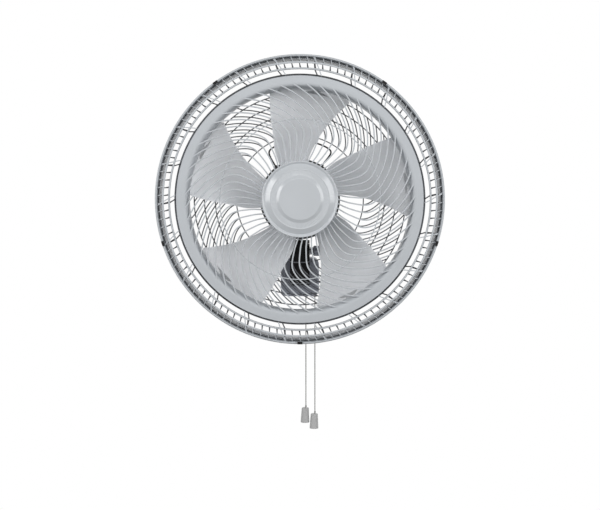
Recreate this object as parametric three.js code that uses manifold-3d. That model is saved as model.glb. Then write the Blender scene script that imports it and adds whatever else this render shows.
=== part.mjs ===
// A wall mounted fan with a 520 mm guard, in millimetres. The wall is the plane y = 0, the fan
// faces -Y and +Z is up. The origin is the centre of the wall plate's back face.
// In the names and comments, v is the distance from the wall (v = -y), r the distance from the
// fan's axis, and an angle round that axis runs clockwise from the top, as seen from the front.
import * as THREE from "three";
import { mergeVertices } from "three/addons/utils/BufferGeometryUtils.js";
import Module from "manifold-3d";

const wasm = await Module();
wasm.setup();

// ---------------------------------------------------------------- driving dimensions
const GAP = 0.3; // clearance between pieces that touch
const RUN = 0.5; // clearance of a bore round what turns or slides in it

// wall plate and base
const PLATE = 2; // thickness of the wall plate
const BASE_SIZE = 76; // width and height of the base housing
const BASE_CORNER = 13;
const BASE_DEPTH = 58;
const BASE_EDGE = 3; // rounding of the base's front edge
const BASE_WALL = 2.5;
const TAB_WIDTH = 24; // bent tabs of the wall plate, which the base is screwed to
const TAB_DEPTH = 14;
const BASE_SCREW_R = 1.8;
const WALL_HOLE_R = 2.6;
const WALL_HOLE_PITCH = 44;

// electrical pieces in the base
const SWITCH_DEPTH = 30;
const SPEED_SWITCH = [20, 24]; // width and height
const SWING_SWITCH = [7.5, 20];
const SWITCH_BOTTOM = 8; // height over the outside of the base's floor
const CAPACITOR = [26, 22];
const CAPACITOR_DEPTH = 20;
const CAPACITOR_DROP = 34; // from the base's top to the capacitor's bottom
const TERMINALS = [24, 14];
const TERMINALS_DEPTH = 16;
const TERMINALS_BOTTOM = 8;
const BLOCK_INSET = 18; // from the base's side to the middle of the capacitor and the terminals
const INLET_R = 3.2; // bore for the mains cable
const INLET_INSET = 16;
const INLET_V = 20;
const BUSH_WALL = 1.6;

// pull cords
const CORD_R = 1;
const CORD_V = 40;
const SPEED_CORD_INSET = 26; // from the base's right side
const SWING_CORD_INSET = 8;
const SPEED_CORD_DROP = 223.5; // from the base to the pendant
const SWING_CORD_DROP = 235.5;
const PULL_TRAVEL = 12;
const BUSH_R = 3.2;
const PENDANT_TOP_R = 6.5;
const PENDANT_BOTTOM_R = 9;
const PENDANT_HEIGHT = 30;

// tilting neck
const NECK_REACH = 35; // from the base's front to the tilt pivot
const PIVOT_Z = 54;
const NECK_WIDTH = 38;
const NECK_FLANGE = 6;
const CHEEK_R = 14;
const TONGUE_WIDTH = 25;
const BOLT_R = 4;
const BOLT_HEAD = 5;
const WASHER = 1.5;
const KNOB_R = 10;
const KNOB_BOSS = 5;
const KNOB_GRIP = 16;
const KNOB_LOBES = 8;
const KNOB_LOBE = 0.9;
const COLLAR_HEIGHT = 6.4; // disc on top of the knuckle, which the head swings over

// oscillation linkage: a crank wheel in the head, a link and a pin on the knuckle
const SPINDLE_R = 5;
const LINK_THICK = 3;
const CRANK_WHEEL_R = 10;
const CRANK_WHEEL_THICK = 3.5;
const CRANK_ARM = 7;
const CRANK_X = -20.5; // crank axis beside and behind the spindle
const CRANK_BACK = 36;
const CRANK_ANGLE = 3.2;
const FIXED_PIN_BACK = 14;
const LINK_LENGTH = 33.9;
const LINK_ANGLE = 54.1;
const LINK_PIN_R = 2;
const LINK_SLACK = 1.9; // extra radius of the link's eye at the pivot where the loop is opened

// head
const AXIS_Z = 155; // height of the fan's axis
const MOTOR_BACK = 15; // from the spindle to the motor
const MOTOR_R = 76;
const MOTOR_LENGTH = 60;
const MOTOR_SPLIT = 40; // length of the rear housing
const MOTOR_WALL = 2.5;
const STATOR_R = 46;
const STATOR_LENGTH = 30;
const STATOR_START = 14; // from the motor's rear face
const ROTOR_R = 26;
const AIR_GAP = 0.5;
const WINDING = 8; // length of the winding past each end of the core
const SHAFT_R = 4;
const BEARING_R = 9;
const BEARING_LENGTH = 8;
const NECK_BOSS_R = 22; // boss on the motor's front that carries the guard
const NECK_BOSS_LENGTH = 11;
const NUT_R = 32;
const NUT_LENGTH = 7;
const WORM_R = 6;
const GEARBOX_WALL = 2.5;
const BOSS_HEIGHT = 36; // boss in the gearbox that runs on the spindle
const GEARBOX_TOP = 20; // over the fan's axis
const HANDLE_R = 112;
const HANDLE_THICK = 3.5;
const HANDLE_SPAN = 36; // half angle between the legs
const HANDLE_V = 28; // from the motor's rear face

// guards
const GUARD_DEPTH = 103; // from the rear spokes to the front spokes
const REAR_PLANE = 5; // from the motor's front face to the rear spokes
const RIM_R = 260;
const RIM_WIDTH = 5.2;
const RIM_DEPTH = 8;
const REAR_RIM_DEPTH = 12;
const HOOP_WALL = 2.2;
const HOOP_DEPTH = 65; // from the front spokes to the hoop's rear edge
const SPOKES = 55;
const SPOKE_WIDTH = 2.6;
const SPOKE_DEPTH = 5;
const HUB_RING_R = 68;
const HUB_RING_WIDTH = 6;
const BAND_INSET = 38.2; // insets of the bell mouth's outer edge, of the edge that the spokes
const BAND_EDGE_INSET = 51; // meet and of its lip, from the outside of the rim
const LIP_INSET = 60.5;
const LIP_DEPTH = 24;
const BAND_WALL = 2.5;
const BAND_SKIRT = 7;
const THIN_RING_R = 144;
const THIN_RING_WIDTH = 2;
const OUTER_RING_INSET = 14.4;
const OUTER_RING_WIDTH = 3.7;
const OUTER_RING_DEPTH = 6;
const LINK_RIBS = 22; // pairs of ribs across the gap outside the bell mouth
const RIB_DEPTH = 4;
const REAR_SPOKE_DEPTH = 4;
const REAR_INNER_R = 119.4;
const REAR_OUTER_INSET = 61.1;
const REAR_RING_WIDTH = 3;
const REAR_OUTER_RING_INSET = 17;
const REAR_OUTER_RING_WIDTH = 4;
const REAR_STEP_INSET = 28.3;
const REAR_STEP_DEPTH = 86;
const GUARD_ARMS = 5;
const GUARD_ARM_ANGLE = 62.5;
const GUARD_FLANGE_R = 60;
const GUARD_FLANGE = 3;

// S curve of the spokes: the angle turns one way inside the bend and the other way outside it
const BEND_R = 121.65;
const BEND_SOFTNESS = 5;
const BEND_ANGLE = 25.99;
const INNER_TURN = 0.0894; // degrees per mm
const OUTER_TURN = -0.4165;

// centre cap
const CAP_R = 69;
const CAP_WALL = 2.2;
const CAP_HEIGHT = 17.5;
const CAP_GROOVE_R = 60.8; // inside of the groove next to its rim
const CAP_FLUTES_R = 52; // outside of the fluted ring
const CAP_DISC_R = 42; // raised disc in the middle

// impeller
const BLADES = 5;
const TIP_INSET = 58; // from the outside of the rim
const HUB_R = 52;
const HUB_LENGTH = 50;
const HUB_DEPTH = 34; // from the front spokes to the hub's front
const HUB_WALL = 3;
const BLADE_THICK = 2.4;

// clips on the rim
const CLIPS = 5;
const CLIP_ANGLE = 36;
const CLIP_WIDTH = 9;
const CLIP_THICK = 3.4;
const CLIP_LIP = 1.9;
const CLIP_PIN_R = 0.8;
const CLIP_LENGTH = 16; // from the rim's front to the clip's hinge

// ---------------------------------------------------------------- places worked out from them
const BASE_BACK = PLATE + GAP;
const BASE_FRONT = PLATE + BASE_DEPTH;
const BASE_INSIDE = BASE_FRONT - BASE_WALL - GAP; // what is inside seats on the front wall
const BASE_HALF = BASE_SIZE / 2;
const FLOOR_Z = -BASE_HALF;
const SPEED_CORD_X = BASE_HALF - SPEED_CORD_INSET;
const SWING_CORD_X = BASE_HALF - SWING_CORD_INSET;
const BLOCK_X = BLOCK_INSET - BASE_HALF;
const INLET_X = INLET_INSET - BASE_HALF;
const PIVOT_V = BASE_FRONT + NECK_REACH;
const KNUCKLE_TOP = PIVOT_Z + CHEEK_R + 2 * GAP + COLLAR_HEIGHT;
const LINK_Z = KNUCKLE_TOP + 1;
const CRANK_Z = LINK_Z + LINK_THICK + RUN;
const GEARBOX_FLOOR = CRANK_Z + CRANK_WHEEL_THICK + RUN;
const SPINDLE_TOP = GEARBOX_FLOOR + BOSS_HEIGHT;
const CRANK_V = PIVOT_V - CRANK_BACK;
const MOTOR_REAR = PIVOT_V + MOTOR_BACK;
const MOTOR_FRONT = MOTOR_REAR + MOTOR_LENGTH;
const STATOR_V = MOTOR_REAR + STATOR_START;
const REAR_V = MOTOR_FRONT + REAR_PLANE;
const FRONT_V = REAR_V + GUARD_DEPTH;
const NECK_BOSS_V = MOTOR_FRONT + NECK_BOSS_LENGTH;
const HUB_FRONT = FRONT_V - HUB_DEPTH;
const HUB_REAR = HUB_FRONT - HUB_LENGTH;
const SHAFT_END = HUB_FRONT + 12;
const OUTER_RING_R = RIM_R - OUTER_RING_INSET;
const BAND_R = RIM_R - BAND_INSET;
const BAND_EDGE_R = RIM_R - BAND_EDGE_INSET;
const LIP_R = RIM_R - LIP_INSET;
const REAR_OUTER_R = RIM_R - REAR_OUTER_INSET;
const REAR_OUTER_RING_R = RIM_R - REAR_OUTER_RING_INSET;
const REAR_STEP_R = RIM_R - REAR_STEP_INSET;
const TIP_R = RIM_R - TIP_INSET;
const CLIP_PIVOT_R = RIM_R - 0.2 - CLIP_THICK / 2;
const WHEEL_R = Math.abs(CRANK_X) - WORM_R;

const DEG = Math.PI / 180;
// facets of what is round
const ROUND = 44; // guard rings
const MEDIUM = 22; // cap, hub and motor shells
const SMALL = 12; // pieces inside the motor
const FINE = 8; // shafts and pins
const BORE = 16; // bores that a shaft turns in, which stay clear of its corners

// ---------------------------------------------------------------- solids
// A closed geometry as a solid that can be joined and cut.
function solid(geometry) {
  const bare = new THREE.BufferGeometry();
  bare.setAttribute("position", geometry.getAttribute("position"));
  bare.setIndex(geometry.getIndex());
  const merged = mergeVertices(bare, 1e-4);
  return new wasm.Manifold(
    new wasm.Mesh({
      numProp: 3,
      vertProperties: Float32Array.from(merged.getAttribute("position").array),
      triVerts: Uint32Array.from(merged.getIndex().array),
    }),
  );
}

const join = (...solids) => wasm.Manifold.union(solids.flat());

// A solid as a named mesh with flat faces.
function mesh(name, body, material) {
  const { vertProperties, triVerts } = body.getMesh();
  const geometry = new THREE.BufferGeometry();
  geometry.setAttribute("position", new THREE.BufferAttribute(vertProperties, 3));
  geometry.setIndex(new THREE.BufferAttribute(triVerts, 1));
  geometry.computeVertexNormals();
  const piece = new THREE.Mesh(geometry, material);
  piece.name = name;
  return piece;
}

// A revolve round the fan's axis of a profile of [r, v] points.
function turned(profile, sides = MEDIUM) {
  const points = profile.map(([r, v]) => new THREE.Vector2(r, -v));
  if (THREE.ShapeUtils.area(points) < 0) points.reverse();
  if (profile[0][0] > 0) points.push(points[0].clone());
  return solid(new THREE.LatheGeometry(points, sides));
}

// A ring round the fan's axis, with a square section.
const ring = (inner, outer, v0, v1, sides = SMALL) =>
  turned([[inner, v0], [outer, v0], [outer, v1], [inner, v1]], sides);

// A cylinder between two [x, v, z] points.
function rod(radius, from, to, sides = FINE) {
  const [start, end] = [from, to].map(([x, v, z]) => new THREE.Vector3(x, -v, z));
  const way = end.clone().sub(start);
  const turn = new THREE.Quaternion().setFromUnitVectors(
    new THREE.Vector3(0, 1, 0),
    way.clone().normalize(),
  );
  const middle = start.add(end).multiplyScalar(0.5);
  const cylinder = new THREE.CylinderGeometry(radius, radius, way.length(), sides);
  return solid(cylinder.applyQuaternion(turn).translate(middle.x, middle.y, middle.z));
}

// A box from its ranges in x, v and z.
function block([x0, x1], [v0, v1], [z0, z1]) {
  const box = new THREE.BoxGeometry(...[x1 - x0, v1 - v0, z1 - z0].map(Math.abs));
  return solid(box.translate((x0 + x1) / 2, -(v0 + v1) / 2, (z0 + z1) / 2));
}

// A shape drawn in x and z, extruded away from the wall.
function plate(shape, v0, v1, curve = 3) {
  const options = { depth: v1 - v0, bevelEnabled: false, curveSegments: curve };
  return solid(new THREE.ExtrudeGeometry(shape, options).translate(0, 0, v0).rotateX(90 * DEG));
}

// A shape drawn in v and z, extruded across x.
function slab(shape, x0, x1, curve = 5) {
  const options = { depth: x1 - x0, bevelEnabled: false, curveSegments: curve };
  const axes = new THREE.Matrix4().makeBasis(
    new THREE.Vector3(0, -1, 0),
    new THREE.Vector3(0, 0, 1),
    new THREE.Vector3(-1, 0, 0),
  );
  return solid(new THREE.ExtrudeGeometry(shape, options).translate(0, 0, -x1).applyMatrix4(axes));
}

// A shape drawn in x and v, extruded upwards.
function layer(shape, z0, z1, curve = 5) {
  const options = { depth: z1 - z0, bevelEnabled: false, curveSegments: curve };
  const flipped = new THREE.Matrix4().makeRotationX(180 * DEG);
  return solid(new THREE.ExtrudeGeometry(shape, options).translate(0, 0, -z1).applyMatrix4(flipped));
}

function roundedRectangle(width, height, corner) {
  const [x, z] = [width / 2, height / 2];
  const shape = new THREE.Shape();
  shape.absarc(x - corner, z - corner, corner, 0, 90 * DEG);
  shape.absarc(corner - x, z - corner, corner, 90 * DEG, 180 * DEG);
  shape.absarc(corner - x, corner - z, corner, 180 * DEG, 270 * DEG);
  shape.absarc(x - corner, corner - z, corner, 270 * DEG, 360 * DEG);
  return shape;
}

// A line given by a function of t from 0 to 1, whose steps fall at even values of t.
class Line extends THREE.Curve {
  constructor(pointAt) {
    super();
    this.pointAt = pointAt;
  }
  getPoint(t) {
    return this.pointAt(t);
  }
  getUtoTmapping(u) {
    return u;
  }
}

// The point at a radius, an angle in degrees and a distance from the wall.
const polar = (r, angle, v) =>
  new THREE.Vector3(r * Math.sin(angle * DEG), -v, r * Math.cos(angle * DEG));

// A three-sided moulding: flat towards the front, with its ridge behind.
function ridge(width, depth) {
  const points = [[0, -width / 2], [0, width / 2], [-depth, 0]];
  return new THREE.Shape(points.map(([x, y]) => new THREE.Vector2(x, y)));
}

// Copies of a swept section, spaced evenly round the fan's axis.
function swept(section, pointAt, steps, count, start = 0) {
  const options = { steps, extrudePath: new Line(pointAt) };
  const one = new THREE.ExtrudeGeometry(section, options);
  return around(one, count, start);
}

function around(geometry, count, start = 0) {
  return Array.from({ length: count }, (_, i) =>
    solid(geometry.clone().rotateY((start + (i * 360) / count) * DEG)),
  );
}

// A quarter of an ellipse as [r, v] points, from its flat end to its upright end.
function quarter(r, v, across, deep, steps = 3) {
  return Array.from({ length: steps + 1 }, (_, i) => {
    const t = (90 * DEG * i) / steps;
    return [r - across * Math.sin(t), v - deep * (1 - Math.cos(t))];
  });
}

const between = (a, b, t) => a + (b - a) * t;

// ---------------------------------------------------------------- materials
function paint(colour, roughness, metalness = 0) {
  return new THREE.MeshStandardMaterial({ color: colour, roughness, metalness });
}
const lightGrey = paint(0xc8ccd0, 0.4);
const bladeGrey = paint(0xb9bbbe, 0.45);
const shadeGrey = paint(0xb2b5b9, 0.45);
const black = paint(0x161618, 0.5);
const slate = paint(0x5b5e66, 0.5);
const pullGrey = paint(0xafafaf, 0.5);
const cordGrey = paint(0xa2a2a0, 0.8);
const steel = paint(0x9a9da1, 0.35, 1);
const coreSteel = paint(0x6e7074, 0.5, 1);
const copper = paint(0xb06a3a, 0.4, 1);
const bronze = paint(0x9c7a4a, 0.45, 1);
const gearWhite = paint(0xe4e2dc, 0.5);

// ---------------------------------------------------------------- base
// Steel plate on the wall: screw holes, and a tab at the top and at the bottom.
function wallPlate() {
  const inside = BASE_HALF - BASE_WALL - GAP;
  const outline = roundedRectangle(BASE_SIZE - 1, BASE_SIZE - 1, BASE_CORNER - 0.5);
  const tabs = [-1, 1].map((side) => {
    const height = [side * inside, side * (inside - PLATE)];
    return block([-TAB_WIDTH / 2, TAB_WIDTH / 2], [PLATE / 2, TAB_DEPTH], height);
  });
  const holes = [-1, 1].map((side) =>
    rod(WALL_HOLE_R, [(side * WALL_HOLE_PITCH) / 2, -1, 0], [(side * WALL_HOLE_PITCH) / 2, PLATE + 1, 0]),
  );
  return join(plate(outline, 0, PLATE), tabs).subtract(join(holes, baseScrews(RUN)));
}

// Screws through the base's top and bottom wall into the plate's tabs.
function baseScrew(side, clearance = 0) {
  const v = (PLATE + TAB_DEPTH) / 2;
  const face = side * (BASE_HALF + GAP);
  const tip = side * (BASE_HALF - BASE_WALL - 2 * PLATE);
  const shank = rod(BASE_SCREW_R + clearance, [0, v, face], [0, v, tip], 10);
  const head = rod(2 * BASE_SCREW_R + clearance, [0, v, face], [0, v, face + side * 1.6], 10);
  return join(shank, head);
}
const baseScrews = (clearance) => join(baseScrew(1, clearance), baseScrew(-1, clearance));

// Moulded housing, open towards the wall.
function baseHousing() {
  const outline = roundedRectangle(BASE_SIZE, BASE_SIZE, BASE_CORNER);
  const options = {
    depth: BASE_DEPTH,
    curveSegments: 4,
    bevelThickness: BASE_EDGE,
    bevelSize: BASE_EDGE,
    bevelOffset: -BASE_EDGE,
    bevelSegments: 1,
  };
  const outer = new THREE.ExtrudeGeometry(outline, options);
  const body = solid(outer.translate(0, 0, PLATE - BASE_EDGE).rotateX(90 * DEG));
  const inner = BASE_SIZE - 2 * BASE_WALL;
  const hollow = plate(
    roundedRectangle(inner, inner, BASE_CORNER - BASE_WALL), -BASE_EDGE, BASE_FRONT - BASE_WALL, 4,
  );
  const all = [-BASE_SIZE, BASE_SIZE];
  const behind = block(all, [-2 * BASE_EDGE, BASE_BACK], all);
  const bushHoles = [SPEED_CORD_X, SWING_CORD_X].map((x) => upright(x, CORD_V, BUSH_R + GAP));
  const inlet = upright(INLET_X, INLET_V, INLET_R + BUSH_WALL + GAP);
  return body.subtract(join(hollow, behind, bushHoles, inlet, baseScrews(RUN)));
}

// A cutter through the base's floor.
const upright = (x, v, radius) =>
  rod(radius, [x, v, FLOOR_Z - 3], [x, v, FLOOR_Z + BASE_WALL + 3]);

// A block inside the base that seats on its front wall.
function seated([width, height], depth, x, z) {
  return block([x - width / 2, x + width / 2], [BASE_INSIDE - depth, BASE_INSIDE], [z, z + height]);
}

const terminals = () => seated(TERMINALS, TERMINALS_DEPTH, BLOCK_X, FLOOR_Z + TERMINALS_BOTTOM);

// A pull switch, with a blind bore that its cord runs in.
function pullSwitch(size, x) {
  const bottom = FLOOR_Z + SWITCH_BOTTOM;
  const body = seated(size, SWITCH_DEPTH, x, bottom);
  const bore = rod(CORD_R + RUN, [x, CORD_V, bottom - 1], [x, CORD_V, bottom + PULL_TRAVEL + 5], 10);
  return body.subtract(bore);
}

// A flanged bush in the base's floor.
function bush(x, v, bore, radius) {
  const flange = rod(radius + 1.4, [x, v, FLOOR_Z - GAP - 1.5], [x, v, FLOOR_Z - GAP]);
  const sleeve = rod(radius, [x, v, FLOOR_Z - GAP - 1], [x, v, FLOOR_Z + BASE_WALL + 1]);
  return join(flange, sleeve).subtract(rod(bore, [x, v, FLOOR_Z - 5], [x, v, FLOOR_Z + 8], 12));
}

// ---------------------------------------------------------------- pull cords
// The cord from inside its switch down into the pendant, with a knot over the pendant.
function pullCord(x, drop) {
  const top = FLOOR_Z + SWITCH_BOTTOM + PULL_TRAVEL + 2;
  const end = FLOOR_Z - drop;
  const line = new Line((t) => new THREE.Vector3(x, -CORD_V, between(top, end - 6, t)));
  const section = new THREE.Shape().absarc(0, 0, CORD_R, 0, 360 * DEG);
  const options = { steps: 6, curveSegments: 4, extrudePath: line };
  const knot = new THREE.SphereGeometry(2.1 * CORD_R, 8, 4).translate(x, -CORD_V, end + 2.1 * CORD_R + GAP);
  return join(solid(new THREE.ExtrudeGeometry(section, options)), solid(knot));
}

// A small hollow cone that hangs on the cord.
function pendant(x, drop) {
  const top = FLOOR_Z - drop;
  const bottom = top - PENDANT_HEIGHT;
  const profile = [
    [CORD_R + GAP, top], [PENDANT_TOP_R - 1, top], [PENDANT_TOP_R, top - 1],
    [PENDANT_BOTTOM_R, bottom + 1], [PENDANT_BOTTOM_R - 1, bottom],
    [PENDANT_BOTTOM_R - 2.5, bottom], [PENDANT_TOP_R - 2.5, top - 8], [CORD_R + GAP, top - 8],
  ];
  const points = profile.map(([r, z]) => new THREE.Vector2(r, z));
  if (THREE.ShapeUtils.area(points) < 0) points.reverse();
  const cone = new THREE.LatheGeometry([...points, points[0].clone()], 12);
  return solid(cone.rotateX(90 * DEG).translate(x, -CORD_V, 0));
}

// ---------------------------------------------------------------- neck and tilt
// Gooseneck bracket on the base's front, forked round the knuckle.
function neckArm() {
  const back = BASE_FRONT + GAP;
  const side = new THREE.Shape();
  side.moveTo(back, -16);
  side.lineTo(back, 27);
  side.lineTo(back + NECK_FLANGE, 27);
  side.quadraticCurveTo(PIVOT_V - CHEEK_R, 27, PIVOT_V - CHEEK_R, PIVOT_Z);
  side.absarc(PIVOT_V, PIVOT_Z, CHEEK_R, 180 * DEG, 0, true);
  side.bezierCurveTo(PIVOT_V + CHEEK_R, 18, PIVOT_V - 8, -16, back + NECK_FLANGE, -16);
  const half = NECK_WIDTH / 2;
  const slot = TONGUE_WIDTH / 2 + GAP;
  const round = rod(CHEEK_R + GAP, [-slot, PIVOT_V, PIVOT_Z], [slot, PIVOT_V, PIVOT_Z], 20);
  const reach = CHEEK_R + 2;
  const above = block([-slot, slot], [PIVOT_V - reach, PIVOT_V + reach], [PIVOT_Z, PIVOT_Z + reach]);
  return slab(side, -half, half, 6).subtract(join(round, above, pivotBore(NECK_WIDTH)));
}

const pivotBore = (length) =>
  rod(BOLT_R + GAP, [-length, PIVOT_V, PIVOT_Z], [length, PIVOT_V, PIVOT_Z], BORE);

// Bolt through the fork; its head is on the left and the knob is on its right end.
function tiltBolt() {
  const face = -NECK_WIDTH / 2 - GAP;
  const end = NECK_WIDTH / 2 + WASHER + KNOB_BOSS + KNOB_GRIP / 2;
  const head = rod(1.6 * BOLT_R, [face - BOLT_HEAD, PIVOT_V, PIVOT_Z], [face, PIVOT_V, PIVOT_Z], 6);
  return join(head, rod(BOLT_R, [face - 1, PIVOT_V, PIVOT_Z], [end, PIVOT_V, PIVOT_Z]));
}

function tiltWasher() {
  const face = NECK_WIDTH / 2 + GAP;
  const disc = rod(2 * BOLT_R, [face, PIVOT_V, PIVOT_Z], [face + WASHER, PIVOT_V, PIVOT_Z], 14);
  return disc.subtract(pivotBore(NECK_WIDTH));
}

// Hand knob with a lobed grip.
function tiltKnob() {
  const start = NECK_WIDTH / 2 + WASHER + 2 * GAP;
  const grip = start + KNOB_BOSS;
  const end = grip + KNOB_GRIP;
  const steps = 4 * KNOB_LOBES;
  const outline = Array.from({ length: steps }, (_, i) => {
    const angle = (i * 360) / steps;
    const r = KNOB_R - KNOB_LOBE * (1 - Math.cos(KNOB_LOBES * angle * DEG));
    return new THREE.Vector2(PIVOT_V + r * Math.cos(angle * DEG), PIVOT_Z + r * Math.sin(angle * DEG));
  });
  const body = slab(new THREE.Shape(outline), grip, end);
  const boss = rod(0.7 * KNOB_R, [start, PIVOT_V, PIVOT_Z], [grip + 1, PIVOT_V, PIVOT_Z], 14);
  const depth = end - 4;
  return join(body, boss).subtract(
    rod(BOLT_R + GAP, [start - 1, PIVOT_V, PIVOT_Z], [depth, PIVOT_V, PIVOT_Z], BORE),
  );
}

// Knuckle: a tongue in the fork, and a round collar with the fixed pin of the linkage.
function tiltKnuckle() {
  const bottom = KNUCKLE_TOP - COLLAR_HEIGHT;
  const web = CHEEK_R - 1;
  const side = new THREE.Shape();
  side.absarc(PIVOT_V, PIVOT_Z, web, 180 * DEG, 360 * DEG);
  side.lineTo(PIVOT_V + web, bottom + 1);
  side.lineTo(PIVOT_V - web, bottom + 1);
  const tongue = slab(side, -TONGUE_WIDTH / 2, TONGUE_WIDTH / 2, 8);
  const collar = rod(NECK_WIDTH / 2, [0, PIVOT_V, bottom], [0, PIVOT_V, KNUCKLE_TOP], 24);
  const pinV = PIVOT_V - FIXED_PIN_BACK;
  const pin = rod(LINK_PIN_R, [0, pinV, bottom + 2], [0, pinV, LINK_Z + LINK_THICK + RUN]);
  const seat = PIVOT_Z + BOLT_R + 2.5;
  const socket = rod(SPINDLE_R + GAP, [0, PIVOT_V, seat], [0, PIVOT_V, KNUCKLE_TOP + 1], BORE);
  return join(tongue, collar, pin).subtract(join(socket, pivotBore(NECK_WIDTH)));
}

// Upright spindle that the head swings on, with a collar under the gearbox.
function swingSpindle() {
  const foot = PIVOT_Z + BOLT_R + 2.5 + GAP;
  const shaft = rod(SPINDLE_R, [0, PIVOT_V, foot], [0, PIVOT_V, SPINDLE_TOP + 4]);
  const collar = rod(SPINDLE_R + 3.5, [0, PIVOT_V, CRANK_Z], [0, PIVOT_V, GEARBOX_FLOOR - GAP], 14);
  return join(shaft, collar);
}

function retainingRing() {
  const bottom = SPINDLE_TOP + GAP;
  const disc = rod(SPINDLE_R + 3, [0, PIVOT_V, bottom], [0, PIVOT_V, bottom + 1.5], 14);
  return disc.subtract(rod(SPINDLE_R + GAP, [0, PIVOT_V, bottom - 1], [0, PIVOT_V, bottom + 3], BORE));
}

// ---------------------------------------------------------------- oscillation drive
const crankPin = [
  CRANK_X + CRANK_ARM * Math.sin(CRANK_ANGLE * DEG),
  CRANK_V - CRANK_ARM * Math.cos(CRANK_ANGLE * DEG),
];

function crankWheel() {
  const [x, v] = crankPin;
  const disc = rod(CRANK_WHEEL_R, [CRANK_X, CRANK_V, CRANK_Z], [CRANK_X, CRANK_V, GEARBOX_FLOOR - RUN], 18);
  const pin = rod(LINK_PIN_R, [x, v, LINK_Z], [x, v, CRANK_Z + 1]);
  const shaft = rod(3, [CRANK_X, CRANK_V, CRANK_Z + 1], [CRANK_X, CRANK_V, AXIS_Z + 8]);
  return join(disc, pin, shaft);
}

// Gear on the crank's shaft, level with the worm on the motor's shaft.
function wormWheel() {
  const [bottom, top] = [AXIS_Z - 5, AXIS_Z + 5];
  const teeth = Array.from({ length: 48 }, (_, i) => {
    const r = i % 2 ? WHEEL_R - GAP : WHEEL_R - 2;
    const angle = i * 7.5 * DEG;
    return new THREE.Vector2(CRANK_X + r * Math.cos(angle), CRANK_V + r * Math.sin(angle));
  });
  const gear = layer(new THREE.Shape(teeth), bottom, top);
  return gear.subtract(rod(3 + GAP, [CRANK_X, CRANK_V, bottom - 1], [CRANK_X, CRANK_V, top + 1]));
}

// Flat link from the crank's pin to the pin on the knuckle, where its eye has slack.
function linkArm() {
  const [x, v] = crankPin;
  const [endX, endV] = [
    x + LINK_LENGTH * Math.cos(LINK_ANGLE * DEG),
    v + LINK_LENGTH * Math.sin(LINK_ANGLE * DEG),
  ];
  const eye = LINK_PIN_R + LINK_SLACK + GAP;
  const [z0, z1] = [LINK_Z + GAP, LINK_Z + LINK_THICK];
  const bar = new THREE.Shape();
  const turn = LINK_ANGLE * DEG;
  bar.absarc(endX, endV, eye + 1.6, turn - 90 * DEG, turn + 90 * DEG);
  bar.absarc(x, v, LINK_PIN_R + 2.2, turn + 90 * DEG, turn + 270 * DEG);
  const holes = join(
    rod(eye, [endX, endV, z0 - 1], [endX, endV, z1 + 1], 14),
    rod(LINK_PIN_R + GAP, [x, v, z0 - 1], [x, v, z1 + 1]),
  );
  return layer(bar, z0, z1, 6).subtract(holes);
}

// Gearbox shell behind the motor, open towards it; the spindle runs in its tall boss.
function gearboxHousing() {
  const left = CRANK_X - WHEEL_R - 4;
  const right = SPINDLE_R + 15;
  const back = CRANK_V - WHEEL_R - 4;
  const front = MOTOR_REAR - GAP;
  const top = AXIS_Z + GEARBOX_TOP;
  const corner = 8;
  const outline = (inset, end) => {
    const shape = new THREE.Shape();
    shape.moveTo(right - inset, end);
    shape.lineTo(left + inset, end);
    shape.absarc(left + corner, back + corner, corner - inset, 180 * DEG, 270 * DEG);
    shape.absarc(right - corner, back + corner, corner - inset, 270 * DEG, 360 * DEG);
    return shape;
  };
  const outer = layer(outline(0, front), GEARBOX_FLOOR, top);
  const inner = layer(
    outline(GEARBOX_WALL, front + 5), GEARBOX_FLOOR + GEARBOX_WALL, top - GEARBOX_WALL,
  );
  const boss = rod(SPINDLE_R + 4, [0, PIVOT_V, GEARBOX_FLOOR], [0, PIVOT_V, SPINDLE_TOP], 14);
  const ends = [GEARBOX_FLOOR - 1, SPINDLE_TOP + 1].map((z) => [0, PIVOT_V, z]);
  const bore = rod(SPINDLE_R + GAP, ...ends, BORE);
  const shaftHole = rod(
    3 + GAP, [CRANK_X, CRANK_V, GEARBOX_FLOOR - 1], [CRANK_X, CRANK_V, GEARBOX_FLOOR + 9],
  );
  return join(outer.subtract(inner), boss).subtract(join(bore, shaftHole));
}

// ---------------------------------------------------------------- motor (round the fan's axis)
// Rear shell with the rear bearing's seat and two sockets for the handle's legs.
function motorRearHousing() {
  const front = MOTOR_REAR + MOTOR_SPLIT;
  const seat = BEARING_R + GAP;
  const shell = turned([
    [seat, MOTOR_REAR], ...quarter(MOTOR_R - 8, MOTOR_REAR, -8, -8), [MOTOR_R, front],
    [MOTOR_R - MOTOR_WALL, front], [MOTOR_R - MOTOR_WALL, MOTOR_REAR + 8],
    [MOTOR_R - 8, MOTOR_REAR + MOTOR_WALL], [seat + 3, MOTOR_REAR + MOTOR_WALL],
    [seat + 3, MOTOR_REAR + BEARING_LENGTH], [seat, MOTOR_REAR + BEARING_LENGTH],
  ]);
  const v = MOTOR_REAR + HANDLE_V;
  const foot = (angle, r) => {
    const point = polar(r, angle, v);
    return [point.x, v, point.z];
  };
  const sockets = [-HANDLE_SPAN, HANDLE_SPAN].map((angle) =>
    rod(HANDLE_THICK / 2 + 2, foot(angle, MOTOR_R - 1), foot(angle, MOTOR_R + 8)),
  );
  const bores = [-HANDLE_SPAN, HANDLE_SPAN].map((angle) =>
    rod(HANDLE_THICK / 2 + GAP, foot(angle, MOTOR_R + 1), foot(angle, MOTOR_R + 9)),
  );
  return join(shell, sockets).subtract(join(bores));
}

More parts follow.
